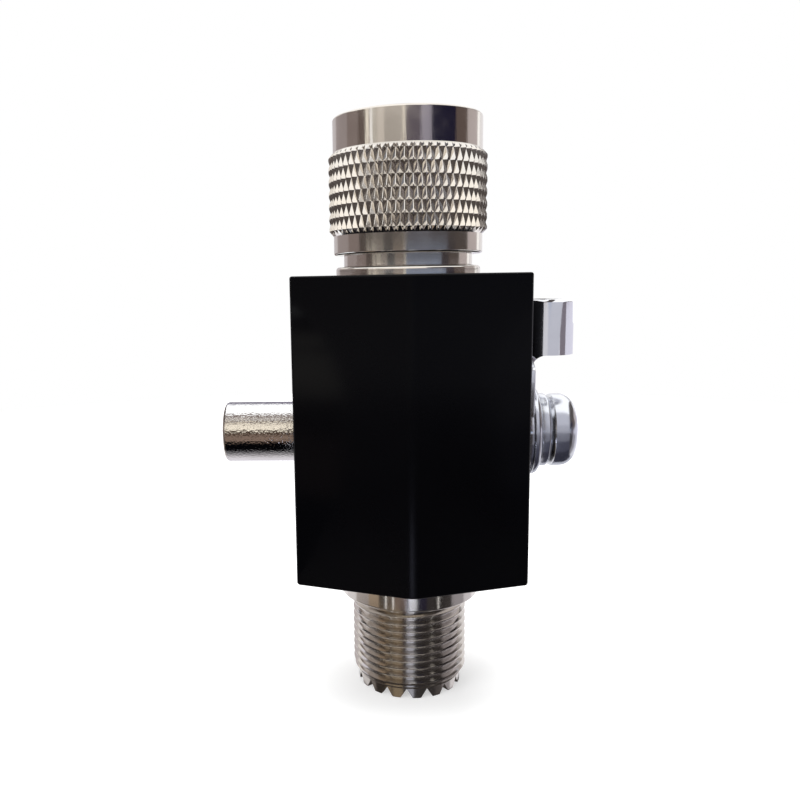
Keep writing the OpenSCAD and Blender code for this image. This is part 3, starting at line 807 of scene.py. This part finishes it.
class ARRESTOR_OT_socket(bpy.types.Operator):
    """Makes the socket's shell with its collar, thread and toothed crown"""

    bl_idname = "arrestor.socket"
    bl_label = "Socket shell"

    def execute(self, context):
        sizes = context.scene.arrestor_socket
        tip = SOCKET_LOW.z
        thread_low = -sizes.thread_length
        root = sizes.thread_radius - sizes.thread_depth
        lip_high = sizes.lip_low + sizes.lip_height
        shell = lathe("socket", [
            (sizes.mouth_radius, tip, sizes.tooth_round),
            (sizes.crown_radius, tip, sizes.tooth_round),
            (sizes.crown_radius, thread_low - sizes.crown_cone, BLUNT),
            (sizes.thread_radius, thread_low, sizes.thread_end_round),
            (sizes.thread_radius, -sizes.relief, CRISP),
            (root, -sizes.relief + sizes.relief_slope, BLUNT),
            (root, 0, BLUNT),
            (SOCKET_HIGH.x, 0, sizes.collar_round),
            (SOCKET_HIGH.x, sizes.collar_height, BROKEN),
            (sizes.spigot_radius, sizes.collar_height, 0),
            (sizes.spigot_radius, SOCKET_HIGH.z, EASED),
            (sizes.mouth_radius, SOCKET_HIGH.z, EASED),
            (sizes.mouth_radius, lip_high, 0),
            (sizes.lip_radius, lip_high, 0),
            (sizes.lip_radius, sizes.lip_low, BROKEN),
            (sizes.mouth_radius, sizes.lip_low, BROKEN),
        ])
        pitch = sizes.thread_pitch
        turns = math.ceil(sizes.thread_length / pitch) + 1
        start = -sizes.relief + pitch / 4 - turns * pitch
        cut(shell, thread_bar(sizes.thread_radius, root, pitch, turns, start, steps=96))
        for i in range(sizes.teeth // 2):
            turn = i * 2 * math.pi / sizes.teeth
            cut(shell, self.notch(sizes, tip, turn + sizes.crown_turn))
        smooth(shell, angle=32)
        dress(shell, "arrestor_body", "socket_shell", nickel_plate())
        shell.data.materials.append(thread_plate())
        for face in shell.data.polygons:
            face.material_index = int(face.center.z < sizes.dull_below)
        return {"FINISHED"}

    def notch(self, sizes, tip, turn):
        """A long three-sided bar that cuts two opposite notches."""
        half = sizes.crown_radius * math.sin(math.pi / sizes.teeth) - sizes.tooth_tip / 2
        reach = 2 * sizes.crown_radius
        bar = prism("notch", [
            (-reach, -2 * half, tip - sizes.notch_depth),
            (-reach, 2 * half, tip - sizes.notch_depth),
            (-reach, 0, tip + sizes.notch_depth),
        ], (2 * reach, 0, 0))
        return lay(bar, turn=(0, 0, turn))


class ARRESTOR_OT_cap(bpy.types.Operator):
    """Makes the gas tube holder's cap with its thread and spring pocket"""

    bl_idname = "arrestor.cap"
    bl_label = "Gas tube cap"

    def execute(self, context):
        sizes = context.scene.arrestor_side
        inner, outer = CAP_HIGH.x, CAP_LOW.x
        radius = CAP_HIGH.z - SIDE_Z
        pocket = inner - sizes.cap_pocket_depth
        cap = lathe("tube_cap", [
            (0, pocket, 0),
            (sizes.cap_pocket_radius, pocket, 0),
            (sizes.cap_pocket_radius, inner, EASED),
            (radius, inner, sizes.cap_inner_round),
            (radius, outer, sizes.cap_round),
            (0, outer, 0),
        ], axis="X")
        pitch = sizes.cap_thread_pitch
        root = radius - sizes.cap_thread_depth
        turns = round(sizes.cap_thread_length / pitch) + 1
        bar = thread_bar(radius, root, pitch, turns, 0)
        cut(cap, lay(bar, turn=(0, -math.pi / 2, 0), place=(inner + pitch, 0, SIDE_Z)))
        smooth(cap, angle=30)
        dress(cap, "cap", "gas_tube_cap", post_plate())
        return {"FINISHED"}


class ARRESTOR_OT_screw(bpy.types.Operator):
    """Makes the ground screw with its domed head, cross recess and thread"""

    bl_idname = "arrestor.screw"
    bl_label = "Ground screw"

    def execute(self, context):
        sizes = context.scene.arrestor_side
        tip, top = SCREW_LOW.x, SCREW_HIGH.x
        seat = top - sizes.head_height
        head = SCREW_HIGH.z - SIDE_Z
        shank = sizes.shank_radius
        screw = lathe("pan_screw", [
            (0, tip, 0),
            (shank - sizes.point_inset, tip, EASED),
            (shank, tip + sizes.point_length, EASED),
            (shank, seat, SOFT),
            (head - sizes.head_inset, seat, SOFT),
            (head, seat + sizes.head_edge_round, sizes.head_edge_round),
            (head, top - sizes.head_dome, sizes.head_round),
            (0, top, 0),
        ], axis="X")
        pitch = sizes.screw_pitch
        root = shank - sizes.screw_thread_depth
        turns = int((seat - tip) / pitch) - 1
        bar = thread_bar(shank, root, pitch, turns, 0, steps=48)
        cut(screw, lay(bar, turn=(0, math.pi / 2, 0), place=(tip - pitch, 0, SIDE_Z)))
        for turn in (math.pi / 4, 3 * math.pi / 4):
            cut(screw, self.recess_arm(sizes, top, turn))
        smooth(screw, angle=30)
        dress(screw, "screw", "ground_screw", zinc_plate())
        return {"FINISHED"}

    def recess_arm(self, sizes, top, turn):
        """One arm of the cross recess, narrower at its floor."""
        half, span = sizes.recess_width / 2, sizes.recess_span / 2
        floor = top - sizes.recess_depth
        arm = brick((floor, -span, -half), (top + PAST, span, half))
        pick(arm, "FACE", lambda corners: all(corner.co.x < top for corner in corners))
        bpy.ops.transform.resize(value=(1, *sizes.recess_taper), center_override=(floor, 0, 0))
        leave_edit()
        return lay(arm, turn=(turn, 0, 0), place=(0, 0, SIDE_Z))


class ARRESTOR_OT_washers(bpy.types.Operator):
    """Makes the flat washer and the split spring washer"""

    bl_idname = "arrestor.washers"
    bl_label = "Washers"

    def execute(self, context):
        sizes = context.scene.arrestor_side
        finish = zinc_plate()
        flat_radius = FLAT_HIGH.z - SIDE_Z
        flat = lathe("round_washer", [
            (sizes.washer_bore, FLAT_LOW.x, EASED),
            (flat_radius, FLAT_LOW.x, BLUNT),
            (flat_radius, FLAT_HIGH.x, sizes.flat_washer_round),
            (sizes.washer_bore, FLAT_HIGH.x, SOFT),
        ], axis="X")
        smooth(flat)
        dress(flat, "washers", "flat_washer", finish)
        spring_radius = SPRING_HIGH.z - SIDE_Z
        spring = lathe("split_washer", [
            (sizes.washer_bore, SPRING_LOW.x, BLUNT),
            (spring_radius, SPRING_LOW.x, SOFT),
            (spring_radius, SPRING_HIGH.x, sizes.spring_washer_round),
            (sizes.washer_bore, SPRING_HIGH.x, SOFT),
        ], axis="X")
        half = sizes.split_width / 2
        thick = SPRING_HIGH.x - SPRING_LOW.x
        split = brick((-thick, 0, -half), (thick, 2 * spring_radius, half))
        middle = (SPRING_LOW.x + SPRING_HIGH.x) / 2
        cut(spring, lay(split, turn=(0, sizes.split_slant, 0), place=(middle, 0, SIDE_Z)))
        smooth(spring)
        dress(spring, "washers", "spring_washer", finish)
        return {"FINISHED"}


class ARRESTOR_OT_lug(bpy.types.Operator):
    """Makes the ring lug: an eye and a flat tongue that sweeps up into the wire barrel"""

    bl_idname = "arrestor.lug"
    bl_label = "Ring lug"

    def execute(self, context):
        sizes = context.scene.arrestor_side
        back, face = LUG_LOW.x, LUG_LOW.x + sizes.lug_sheet
        foot = SIDE_Z + sizes.lug_barrel_foot
        lug = self.tongue(sizes, foot)
        eye = lathe("eye", [
            (0, back, 0),
            (sizes.lug_eye_radius, back, BLUNT),
            (sizes.lug_eye_radius, face, sizes.lug_eye_round),
            (0, face, 0),
        ], axis="X")
        combine(lug, eye, "UNION")
        combine(lug, self.barrel(sizes, foot, face), "UNION")
        cut(lug, rod(sizes.lug_hole_radius, back - PAST, face + PAST, "X"))
        smooth(lug, angle=32)
        dress(lug, "lug", "ring_lug", tin_plate())
        return {"FINISHED"}

    def tongue(self, sizes, foot):
        """The flat plate from the eye up, with its shoulders rounded and its front edges eased."""
        neck, narrow = sizes.lug_neck_half, sizes.lug_top_half
        low, top = SIDE_Z + sizes.lug_tongue_low, foot + LAP
        shoulder = top - sizes.lug_fillet
        outline = rounded([
            (-neck, low, 0), (neck, low, 0), (neck, shoulder, sizes.lug_shoulder_round),
            (narrow, top, 0), (-narrow, top, 0), (-neck, shoulder, sizes.lug_shoulder_round),
        ])
        tongue = prism("crimp_lug", [(LUG_LOW.x, p.x, p.y) for p in outline], (sizes.lug_sheet, 0, 0))
        front = LUG_LOW.x + sizes.lug_sheet / 2
        bevel(tongue, lambda ends: all(end.co.x > front for end in ends), SOFT, segments=3)
        return tongue

    def barrel(self, sizes, foot, face):
        """The tube for the wire, with its lower end cut along the sweep from the tongue."""
        radius, sweep = sizes.lug_barrel_radius, sizes.lug_fillet
        low, high = foot - sweep, LUG_HIGH.z
        tube = lathe("barrel", [
            (sizes.lug_bore_radius, low, 0),
            (radius, low, 0),
            (radius, high, sizes.lug_rim_round),
            (sizes.lug_bore_radius, high, sizes.lug_mouth_round),
        ])
        lay(tube, place=(LUG_LOW.x + radius, 0, 0))
        reach = 4 * radius
        far, under = face + reach, low - PAST
        below = rounded([(face, under, 0), (face, foot, sweep), (far, foot, 0), (far, under, 0)], steps=16)
        return cut(tube, prism("below", [(p.x, -reach, p.y) for p in below], (0, 2 * reach, 0)))


def black_coat():
    """Satin black coat of the block."""
    return coated(
        "Black coat", finishes().black, sheen=(0.25, 0.32), grain=0.09 * MM, depth=0.0012 * MM, specular=0.085
    )


def nickel_plate():
    """Bright nickel over turned brass."""
    return plated(
        "Nickel plate", finishes().nickel, sheen=(0.1, 0.17), ripple=0.5 * MM, depth=0.0006 * MM, lines=0.55
    )


def knurl_plate():
    """Nickel on the rolled knurl, which is less bright."""
    return plated("Knurl plate", finishes().nickel, sheen=(0.13, 0.2), ripple=0.3 * MM, depth=0.002 * MM)


def thread_plate():
    """Nickel on the cut thread and the crown, which is duller."""
    return plated("Thread plate", finishes().nickel, sheen=(0.13, 0.19), ripple=0.3 * MM, depth=0.002 * MM)


def post_plate():
    """Nickel with the mottled ripple of a thick plating."""
    return plated(
        "Post plate", finishes().nickel, sheen=(0.05, 0.1), ripple=0.26 * MM, depth=0.055 * MM, along="X"
    )


def zinc_plate():
    """Bright zinc of the screw and washers."""
    return plated(
        "Zinc plate", finishes().zinc, sheen=(0.16, 0.27), ripple=0.7 * MM, depth=0.006 * MM, along="X"
    )


def tin_plate():
    """Bright tin of the lug."""
    return plated("Tin plate", finishes().tin, sheen=(0.08, 0.15), ripple=1.2 * MM, depth=0.006 * MM)


def bare_brass():
    """Turned brass without plating."""
    return plated(
        "Bare brass", finishes().brass, sheen=(0.16, 0.26), ripple=0.4 * MM, depth=0.0012 * MM, lines=0.7
    )


def spring_steel():
    """Plain drawn steel."""
    return plated("Spring steel", finishes().steel, sheen=(0.22, 0.32), ripple=0.5 * MM, depth=0.001 * MM)


def white_insulator():
    """Smooth white plastic."""
    return coated(
        "White insulator", finishes().insulator, sheen=(0.35, 0.5), grain=0.2 * MM, depth=0.0015 * MM,
        specular=0.45
    )


def tube_ceramic():
    """Fired ceramic of the gas tube."""
    return coated(
        "Tube ceramic", finishes().ceramic, sheen=(0.45, 0.6), grain=0.08 * MM, depth=0.002 * MM, specular=0.4
    )


# Pieces that keep their solid shapes, by finish
PLAIN_PIECES = (
    (nickel_plate, ("plug_body", "plug_pin")),
    (bare_brass, ("inner_conductor", "socket_contact")),
    (spring_steel, (
        "nut_retaining_ring", "contact_spring", "gas_tube_outer_electrode", "gas_tube_inner_electrode",
    )),
    (white_insulator, ("plug_insulator", "socket_insulator")),
    (tube_ceramic, ("gas_tube_ceramic",)),
)


class ARRESTOR_OT_inner(bpy.types.Operator):
    """Gives the pieces that keep their solid shapes their finishes"""

    bl_idname = "arrestor.inner"
    bl_label = "Plug and inner pieces"

    def execute(self, context):
        for finish, names in PLAIN_PIECES:
            material = finish()
            for name in names:
                solid = frame["nodes"][name]
                solid.data.materials.clear()
                solid.data.materials.append(material)
        return {"FINISHED"}


# Camera that fits the photograph's outline: place, aim and lens, for an image 800 pixels square
IMAGE = 800
CAMERA_PLACE = Vector((-4.05, -110.65, 43.32)) * MM
CAMERA_YAW = math.radians(-3.148)
CAMERA_PITCH = math.radians(-8.91)
CAMERA_ROLL = math.radians(-1.027)
FOCAL_PIXELS = 808.06
CENTRE_PIXEL = (334.95, 407.02)
SENSOR = 36

# Studio cards that only reflections see, in rows round the object. A row has its lowest and highest
# elevation, and then each card's far edge and colour, from left to right. Azimuth 0 is towards the camera and
# grows to the right; all angles are in degrees.
PALE = (0.64, 0.60, 0.62)
MAUVE = (0.38, 0.33, 0.33)
TAUPE = (0.27, 0.22, 0.21)
BROWN = (0.14, 0.105, 0.095)
CREAM = (1.25, 1.18, 1.04)
NAVY = (0.012, 0.011, 0.034)
DARK = (0.04, 0.036, 0.036)
WHITE = (1.35, 1.35, 1.35)
# Where every row starts, and the cards that several rows share
ROW_START = -175
LEFT_CARDS = ((-140, PALE), (-104, MAUVE), (-80, TAUPE))
LEFT_STRIPES = ((-66, BROWN), (-61, CREAM), (-58.5, TAUPE))
RIGHT_CARDS = ((128, (0.58, 0.52, 0.52)), (136, WHITE), (175, (0.95, 0.93, 0.95)))
CARD_ROWS = {
    "roof": ((34, 90), ((175, WHITE),)),
    "high": ((19.5, 34), (
        (-125, (0.95, 0.92, 0.90)), (-98, (0.42, 0.39, 0.37)), (-40, (1.15, 1.1, 1.03)),
        (28, (1.45, 1.38, 1.28)), (58, (0.24, 0.215, 0.205)), (105, (0.13, 0.115, 0.11)),
        (138, (0.42, 0.39, 0.38)), (175, (0.95, 0.92, 0.92)),
    )),
    "upper": ((9.5, 19.5), (
        *LEFT_CARDS, *LEFT_STRIPES, (-55, WHITE), (-46, (0.62, 0.58, 0.52)), (-36, (0.76, 0.70, 0.64)),
        (-8, (0.50, 0.46, 0.42)), (-5, CREAM), (18, (0.11, 0.09, 0.12)), (34, (0.36, 0.34, 0.42)),
        (74, NAVY), (98, BROWN), *RIGHT_CARDS,
    )),
    "knurl": ((3.8, 9.5), (*LEFT_CARDS, (100, (0.085, 0.073, 0.068)), *RIGHT_CARDS)),
    "middle": ((1, 3.8), (
        *LEFT_CARDS, *LEFT_STRIPES, (-50, CREAM), (-38, (0.76, 0.70, 0.64)), (-24, (0.10, 0.115, 0.125)),
        (-8, (0.52, 0.44, 0.38)), (-5, CREAM), (59, (0.36, 0.45, 0.64)), (74, NAVY), (98, BROWN),
        *RIGHT_CARDS,
    )),
    "barrel": ((-8, 1), (
        (-40, TAUPE), (0, (0.74, 0.73, 0.76)), (46, (0.60, 0.60, 0.66)), (52, (0.9, 0.9, 0.95)),
        (80, (0.24, 0.21, 0.24)), (175, (0.82, 0.80, 0.90)),
    )),
    "collar": ((-26, -8), (
        (-128, (1.1, 1.08, 1.14)), (-100, (0.90, 0.88, 0.92)), (-72, (0.50, 0.46, 0.45)),
        (-53, (0.46, 0.36, 0.27)), (-41.5, DARK), (-39, WHITE), (-29, (0.10, 0.08, 0.07)), (-27, WHITE),
        (-6, (0.20, 0.15, 0.13)), (-2, DARK), (11, (0.86, 0.90, 1.0)), (27, NAVY), (46, DARK), (48, WHITE),
        (72, DARK), (100, (0.36, 0.34, 0.37)), (124, (0.72, 0.70, 0.76)), (175, (1.1, 1.08, 1.14)),
    )),
    "thread": ((-90, -26), (
        (-136, (0.95, 0.93, 0.95)), (-104, (0.70, 0.68, 0.69)), (-86, (0.20, 0.18, 0.17)),
        (-56, (0.03, 0.025, 0.022)), (-44, (0.26, 0.20, 0.14)), (-40, DARK), (-17, (0.26, 0.205, 0.14)),
        (-8, DARK), (8, (0.42, 0.44, 0.52)), (60, DARK), (78, (0.08, 0.07, 0.07)),
        (105, (0.34, 0.32, 0.34)), (175, (0.85, 0.83, 0.87)),
    )),
}
CARD_DISTANCE = 450 * MM
STAGE_CENTRE = Vector((0, 0, 25)) * MM
# Cards wrapped round the side axis, close to the gas tube cap and to the ground screw: where they start and
# end along the axis, the elevation where they start, and each one's far edge and colour
SIDE_CARD_DISTANCE = 21 * MM
SIDE_CARDS = {
    "post": ((-36 * MM, -15.5 * MM), -150, (
        (-96, (0.88, 0.87, 0.97)), (-82, (0.52, 0.52, 0.57)), (-68, (0.26, 0.26, 0.29)),
        (-26, (0.002, 0.002, 0.003)), (-3, (0.28, 0.205, 0.17)), (13, (0.08, 0.055, 0.042)), (32, CREAM),
        (35, TAUPE), (41, CREAM), (51, BROWN), (57, WHITE), (73, TAUPE), (130, (1.6, 1.68, 1.8)),
        (165, (0.30, 0.29, 0.38)),
    )),
    "screw": ((20 * MM, 37 * MM), -140, (
        (-110, (0.62, 0.62, 0.68)), (-60, (0.035, 0.035, 0.05)), (-25, (0.07, 0.07, 0.095)),
        (0, (0.20, 0.20, 0.235)), (20, (0.45, 0.45, 0.50)), (58, (0.60, 0.60, 0.66)), (140, WHITE),
    )),
}
# Dark ring sector beside the lower end of the nut, which the knurl's lower flanks mirror:
# azimuths, inner and outer radius, height, and its colour
NUT_SHADE = ((-135, 135), (19 * MM, 75 * MM), 45.3 * MM, (0.10, 0.085, 0.08))
# Narrow bright card low in front, which the lower end of the block's ridge mirrors: low and high corner,
# and its colour
RIDGE_LIGHT = (Vector((-6, -60, -16)) * MM, Vector((1.5, -60, -2)) * MM, (4.2, 4.4, 5.8))
# Dark disc under the crown: radius, height, and its colour
CROWN_SHADE = (9 * MM, -15 * MM, (0.05, 0.043, 0.04))
# Dark drum sector in front of the thread: azimuths, radius, heights, and its colour
THREAD_SHADE = ((-75, 62), 70 * MM, (-8 * MM, 22 * MM), (0.045, 0.038, 0.036))
# Lamps: name, place, size and power, in metres and watts
LAMPS = (
    ("overhead_lamp", (0.0, 0.1, 0.7), 0.7, 6.0),
    ("front_lamp", (-0.5, -0.5, 0.45), 0.4, 2.0),
)
FLOOR_RADIUS = 300 * MM
FULL_WHITE = (1, 1, 1, 1)
FLOOR_GREY = (0.7, 0.7, 0.7, 1)


def between(span, share):
    """The value at a share of the way along a span."""
    return span[0] + share * (span[1] - span[0])


class ARRESTOR_OT_stage(bpy.types.Operator):
    """Makes the floor, the white backdrop, the soft lights, the studio cards and the camera"""

    bl_idname = "arrestor.stage"
    bl_label = "Stage"

    def execute(self, context):
        self.world(context.scene)
        self.floor()
        self.lights()
        self.cards()
        self.camera(context.scene)
        context.scene.view_settings.view_transform = "Standard"
        return {"FINISHED"}

    def seen_directly(self, tree):
        """1 for camera, glossy and transmission rays, 0 for the rays that only carry light."""
        path = tree.nodes.new("ShaderNodeLightPath")
        total = path.outputs["Is Camera Ray"]
        for other in ("Is Glossy Ray", "Is Transmission Ray"):
            total = maths(tree, "MAXIMUM", total, path.outputs[other])
        return total

    def choose(self, tree, light, seen, output):
        """Gives an output one shader for the rays that only carry light, and another for those that see."""
        choice = tree.nodes.new("ShaderNodeMixShader")
        tree.links.new(self.seen_directly(tree), choice.inputs["Fac"])
        tree.links.new(light.outputs[0], choice.inputs[1])
        tree.links.new(seen.outputs[0], choice.inputs[2])
        tree.links.new(choice.outputs[0], tree.nodes.new(output).inputs["Surface"])

    def world(self, scene):
        """White where it is seen or mirrored, and a plain even light elsewhere."""
        world = bpy.data.worlds.new("Studio")
        tree = bare_tree(world)
        even = node(tree, "ShaderNodeBackground", Color=FULL_WHITE, Strength=0.55)
        white = node(tree, "ShaderNodeBackground", Color=FULL_WHITE, Strength=1.0)
        self.choose(tree, even, white, "ShaderNodeOutputWorld")
        scene.world = world

    def floor(self):
        """A plain pale floor under the crown."""
        floor = add(
            "floor", bpy.ops.mesh.primitive_circle_add, vertices=96, radius=FLOOR_RADIUS,
            fill_type="NGON", location=(0, 0, cad_low.z)
        )
        material = bpy.data.materials.new("Floor")
        tree = bare_tree(material)
        matte = node(tree, "ShaderNodeBsdfDiffuse", Color=FLOOR_GREY)
        glow = node(tree, "ShaderNodeEmission", Color=FULL_WHITE, Strength=0.5)
        total = tree.nodes.new("ShaderNodeAddShader")
        tree.links.new(matte.outputs[0], total.inputs[0])
        tree.links.new(glow.outputs[0], total.inputs[1])
        self.choose(tree, matte, total, "ShaderNodeOutputMaterial")
        floor.data.materials.append(material)
        floor.visible_glossy = False

    def lights(self):
        """A wide soft lamp overhead and a weaker one from the front left."""
        for name, place, size, power in LAMPS:
            bpy.ops.object.light_add(type="AREA", location=place)
            lamp = bpy.context.object
            lamp.name = name
            lamp.data.size = size
            lamp.data.energy = power
            aim = STAGE_CENTRE - Vector(place)
            lamp.rotation_euler = aim.to_track_quat("-Z", "Y").to_euler()
            lamp.visible_camera = False
            lamp.visible_glossy = False

    def cards(self):
        """All the cards, each laid out by a function of its share across and its share up."""
        for row, (elevation, strip) in CARD_ROWS.items():
            start = ROW_START
            for i, (end, tone) in enumerate(strip):
                self.card(f"{row}_{i}", tone, lambda across, up: self.around(
                    between((start, end), across), between(elevation, up)
                ))
                start = end
        for row, (span, start, strip) in SIDE_CARDS.items():
            for i, (end, tone) in enumerate(strip):
                self.card(f"{row}_{i}", tone, lambda across, up: self.about_side_axis(
                    between(span, across), between((start, end), up)
                ))
                start = end
        low, high, tone = RIDGE_LIGHT
        self.card("ridge_light", tone, lambda across, up: low + (high - low) * Vector((across, 0, up)))
        azimuth, radius, height, tone = NUT_SHADE
        self.card("nut_shade", tone, lambda across, up: self.about_axis(
            between(azimuth, across), between(radius, up), height
        ))
        outer, low, tone = CROWN_SHADE
        self.card("crown_shade", tone, lambda across, up: self.about_axis(360 * across, outer * up, low))
        azimuth, radius, heights, tone = THREAD_SHADE
        self.card("thread_shade", tone, lambda across, up: self.about_axis(
            between(azimuth, across), radius, between(heights, up)
        ))

    def around(self, azimuth, elevation):
        """Place of a far card's point."""
        rise = math.radians(elevation)
        level = self.about_axis(azimuth, CARD_DISTANCE * math.cos(rise), CARD_DISTANCE * math.sin(rise))
        return STAGE_CENTRE + level

    def about_axis(self, azimuth, radius, height):
        """Place at an azimuth, a radius and a height about the coax axis."""
        turn = math.radians(azimuth)
        return Vector((radius * math.sin(turn), -radius * math.cos(turn), height))

    def about_side_axis(self, x, elevation):
        """Place on a card that is wrapped round the side axis."""
        rise = math.radians(elevation)
        return Vector((x, -SIDE_CARD_DISTANCE * math.cos(rise), SIDE_Z + SIDE_CARD_DISTANCE * math.sin(rise)))

    def card(self, name, tone, place):
        """A glowing card that only mirrors see."""
        card = add(
            "card_" + name, bpy.ops.mesh.primitive_grid_add, x_subdivisions=24, y_subdivisions=12, size=1
        )
        for vertex in card.data.vertices:
            vertex.co = place(vertex.co.x + 0.5, vertex.co.y + 0.5)
        material = bpy.data.materials.new("Card " + name)
        tree = bare_tree(material)
        glow = node(tree, "ShaderNodeEmission", Color=(*tone, 1), Strength=1.0)
        output = tree.nodes.new("ShaderNodeOutputMaterial")
        tree.links.new(glow.outputs[0], output.inputs["Surface"])
        card.data.materials.append(material)
        for kind in ("camera", "diffuse", "shadow", "transmission", "volume_scatter"):
            setattr(card, "visible_" + kind, False)

    def camera(self, scene):
        """The photograph's view."""
        cos_pitch = math.cos(CAMERA_PITCH)
        ahead = Vector((
            math.sin(CAMERA_YAW) * cos_pitch, math.cos(CAMERA_YAW) * cos_pitch, math.sin(CAMERA_PITCH)
        ))
        right = Vector((math.cos(CAMERA_YAW), -math.sin(CAMERA_YAW), 0))
        up = right.cross(ahead)
        x_axis = math.cos(CAMERA_ROLL) * right + math.sin(CAMERA_ROLL) * up
        y_axis = math.cos(CAMERA_ROLL) * up - math.sin(CAMERA_ROLL) * right
        bpy.ops.object.camera_add()
        camera = bpy.context.object
        camera.name = "photo_camera"
        turn = Matrix((x_axis, y_axis, -ahead)).transposed()
        camera.matrix_world = Matrix.Translation(CAMERA_PLACE) @ turn.to_4x4()
        lens = camera.data
        lens.sensor_width = SENSOR
        lens.lens = SENSOR * FOCAL_PIXELS / IMAGE
        lens.shift_x = 0.5 - CENTRE_PIXEL[0] / IMAGE
        lens.shift_y = CENTRE_PIXEL[1] / IMAGE - 0.5
        lens.clip_start = MM
        scene.camera = camera


OPERATORS = (
    ARRESTOR_OT_block,
    ARRESTOR_OT_nut,
    ARRESTOR_OT_socket,
    ARRESTOR_OT_cap,
    ARRESTOR_OT_screw,
    ARRESTOR_OT_washers,
    ARRESTOR_OT_lug,
    ARRESTOR_OT_inner,
    ARRESTOR_OT_stage,
)
GROUPS = {
    "arrestor_block": BlockSizes,
    "arrestor_nut": NutSizes,
    "arrestor_socket": SocketSizes,
    "arrestor_side": SideSizes,
    "arrestor_finishes": Finishes,
}


class ARRESTOR_PT_panel(bpy.types.Panel):
    """Lists the arrestor's pieces and sizes"""

    bl_label = "Coax lightning arrestor"
    bl_idname = "ARRESTOR_PT_panel"
    bl_space_type = "VIEW_3D"
    bl_region_type = "UI"
    bl_category = "Arrestor"

    def draw(self, context):
        for operator in OPERATORS:
            self.layout.operator(operator.bl_idname)
        for name, group in GROUPS.items():
            box = self.layout.box()
            box.label(text=group.__doc__)
            for key in group.__annotations__:
                box.prop(getattr(context.scene, name), key)


def register():
    for group in GROUPS.values():
        bpy.utils.register_class(group)
    for name, group in GROUPS.items():
        setattr(bpy.types.Scene, name, bpy.props.PointerProperty(type=group))
    for operator in OPERATORS:
        bpy.utils.register_class(operator)
    bpy.utils.register_class(ARRESTOR_PT_panel)


def unregister():
    bpy.utils.unregister_class(ARRESTOR_PT_panel)
    for operator in reversed(OPERATORS):
        bpy.utils.unregister_class(operator)
    for name, group in GROUPS.items():
        delattr(bpy.types.Scene, name)
        bpy.utils.unregister_class(group)


def main():
    register()
    bpy.ops.arrestor.block()
    bpy.ops.arrestor.nut()
    bpy.ops.arrestor.socket()
    bpy.ops.arrestor.cap()
    bpy.ops.arrestor.screw()
    bpy.ops.arrestor.washers()
    bpy.ops.arrestor.lug()
    bpy.ops.arrestor.inner()
    bpy.ops.arrestor.stage()


if __name__ == "__main__":
    main()
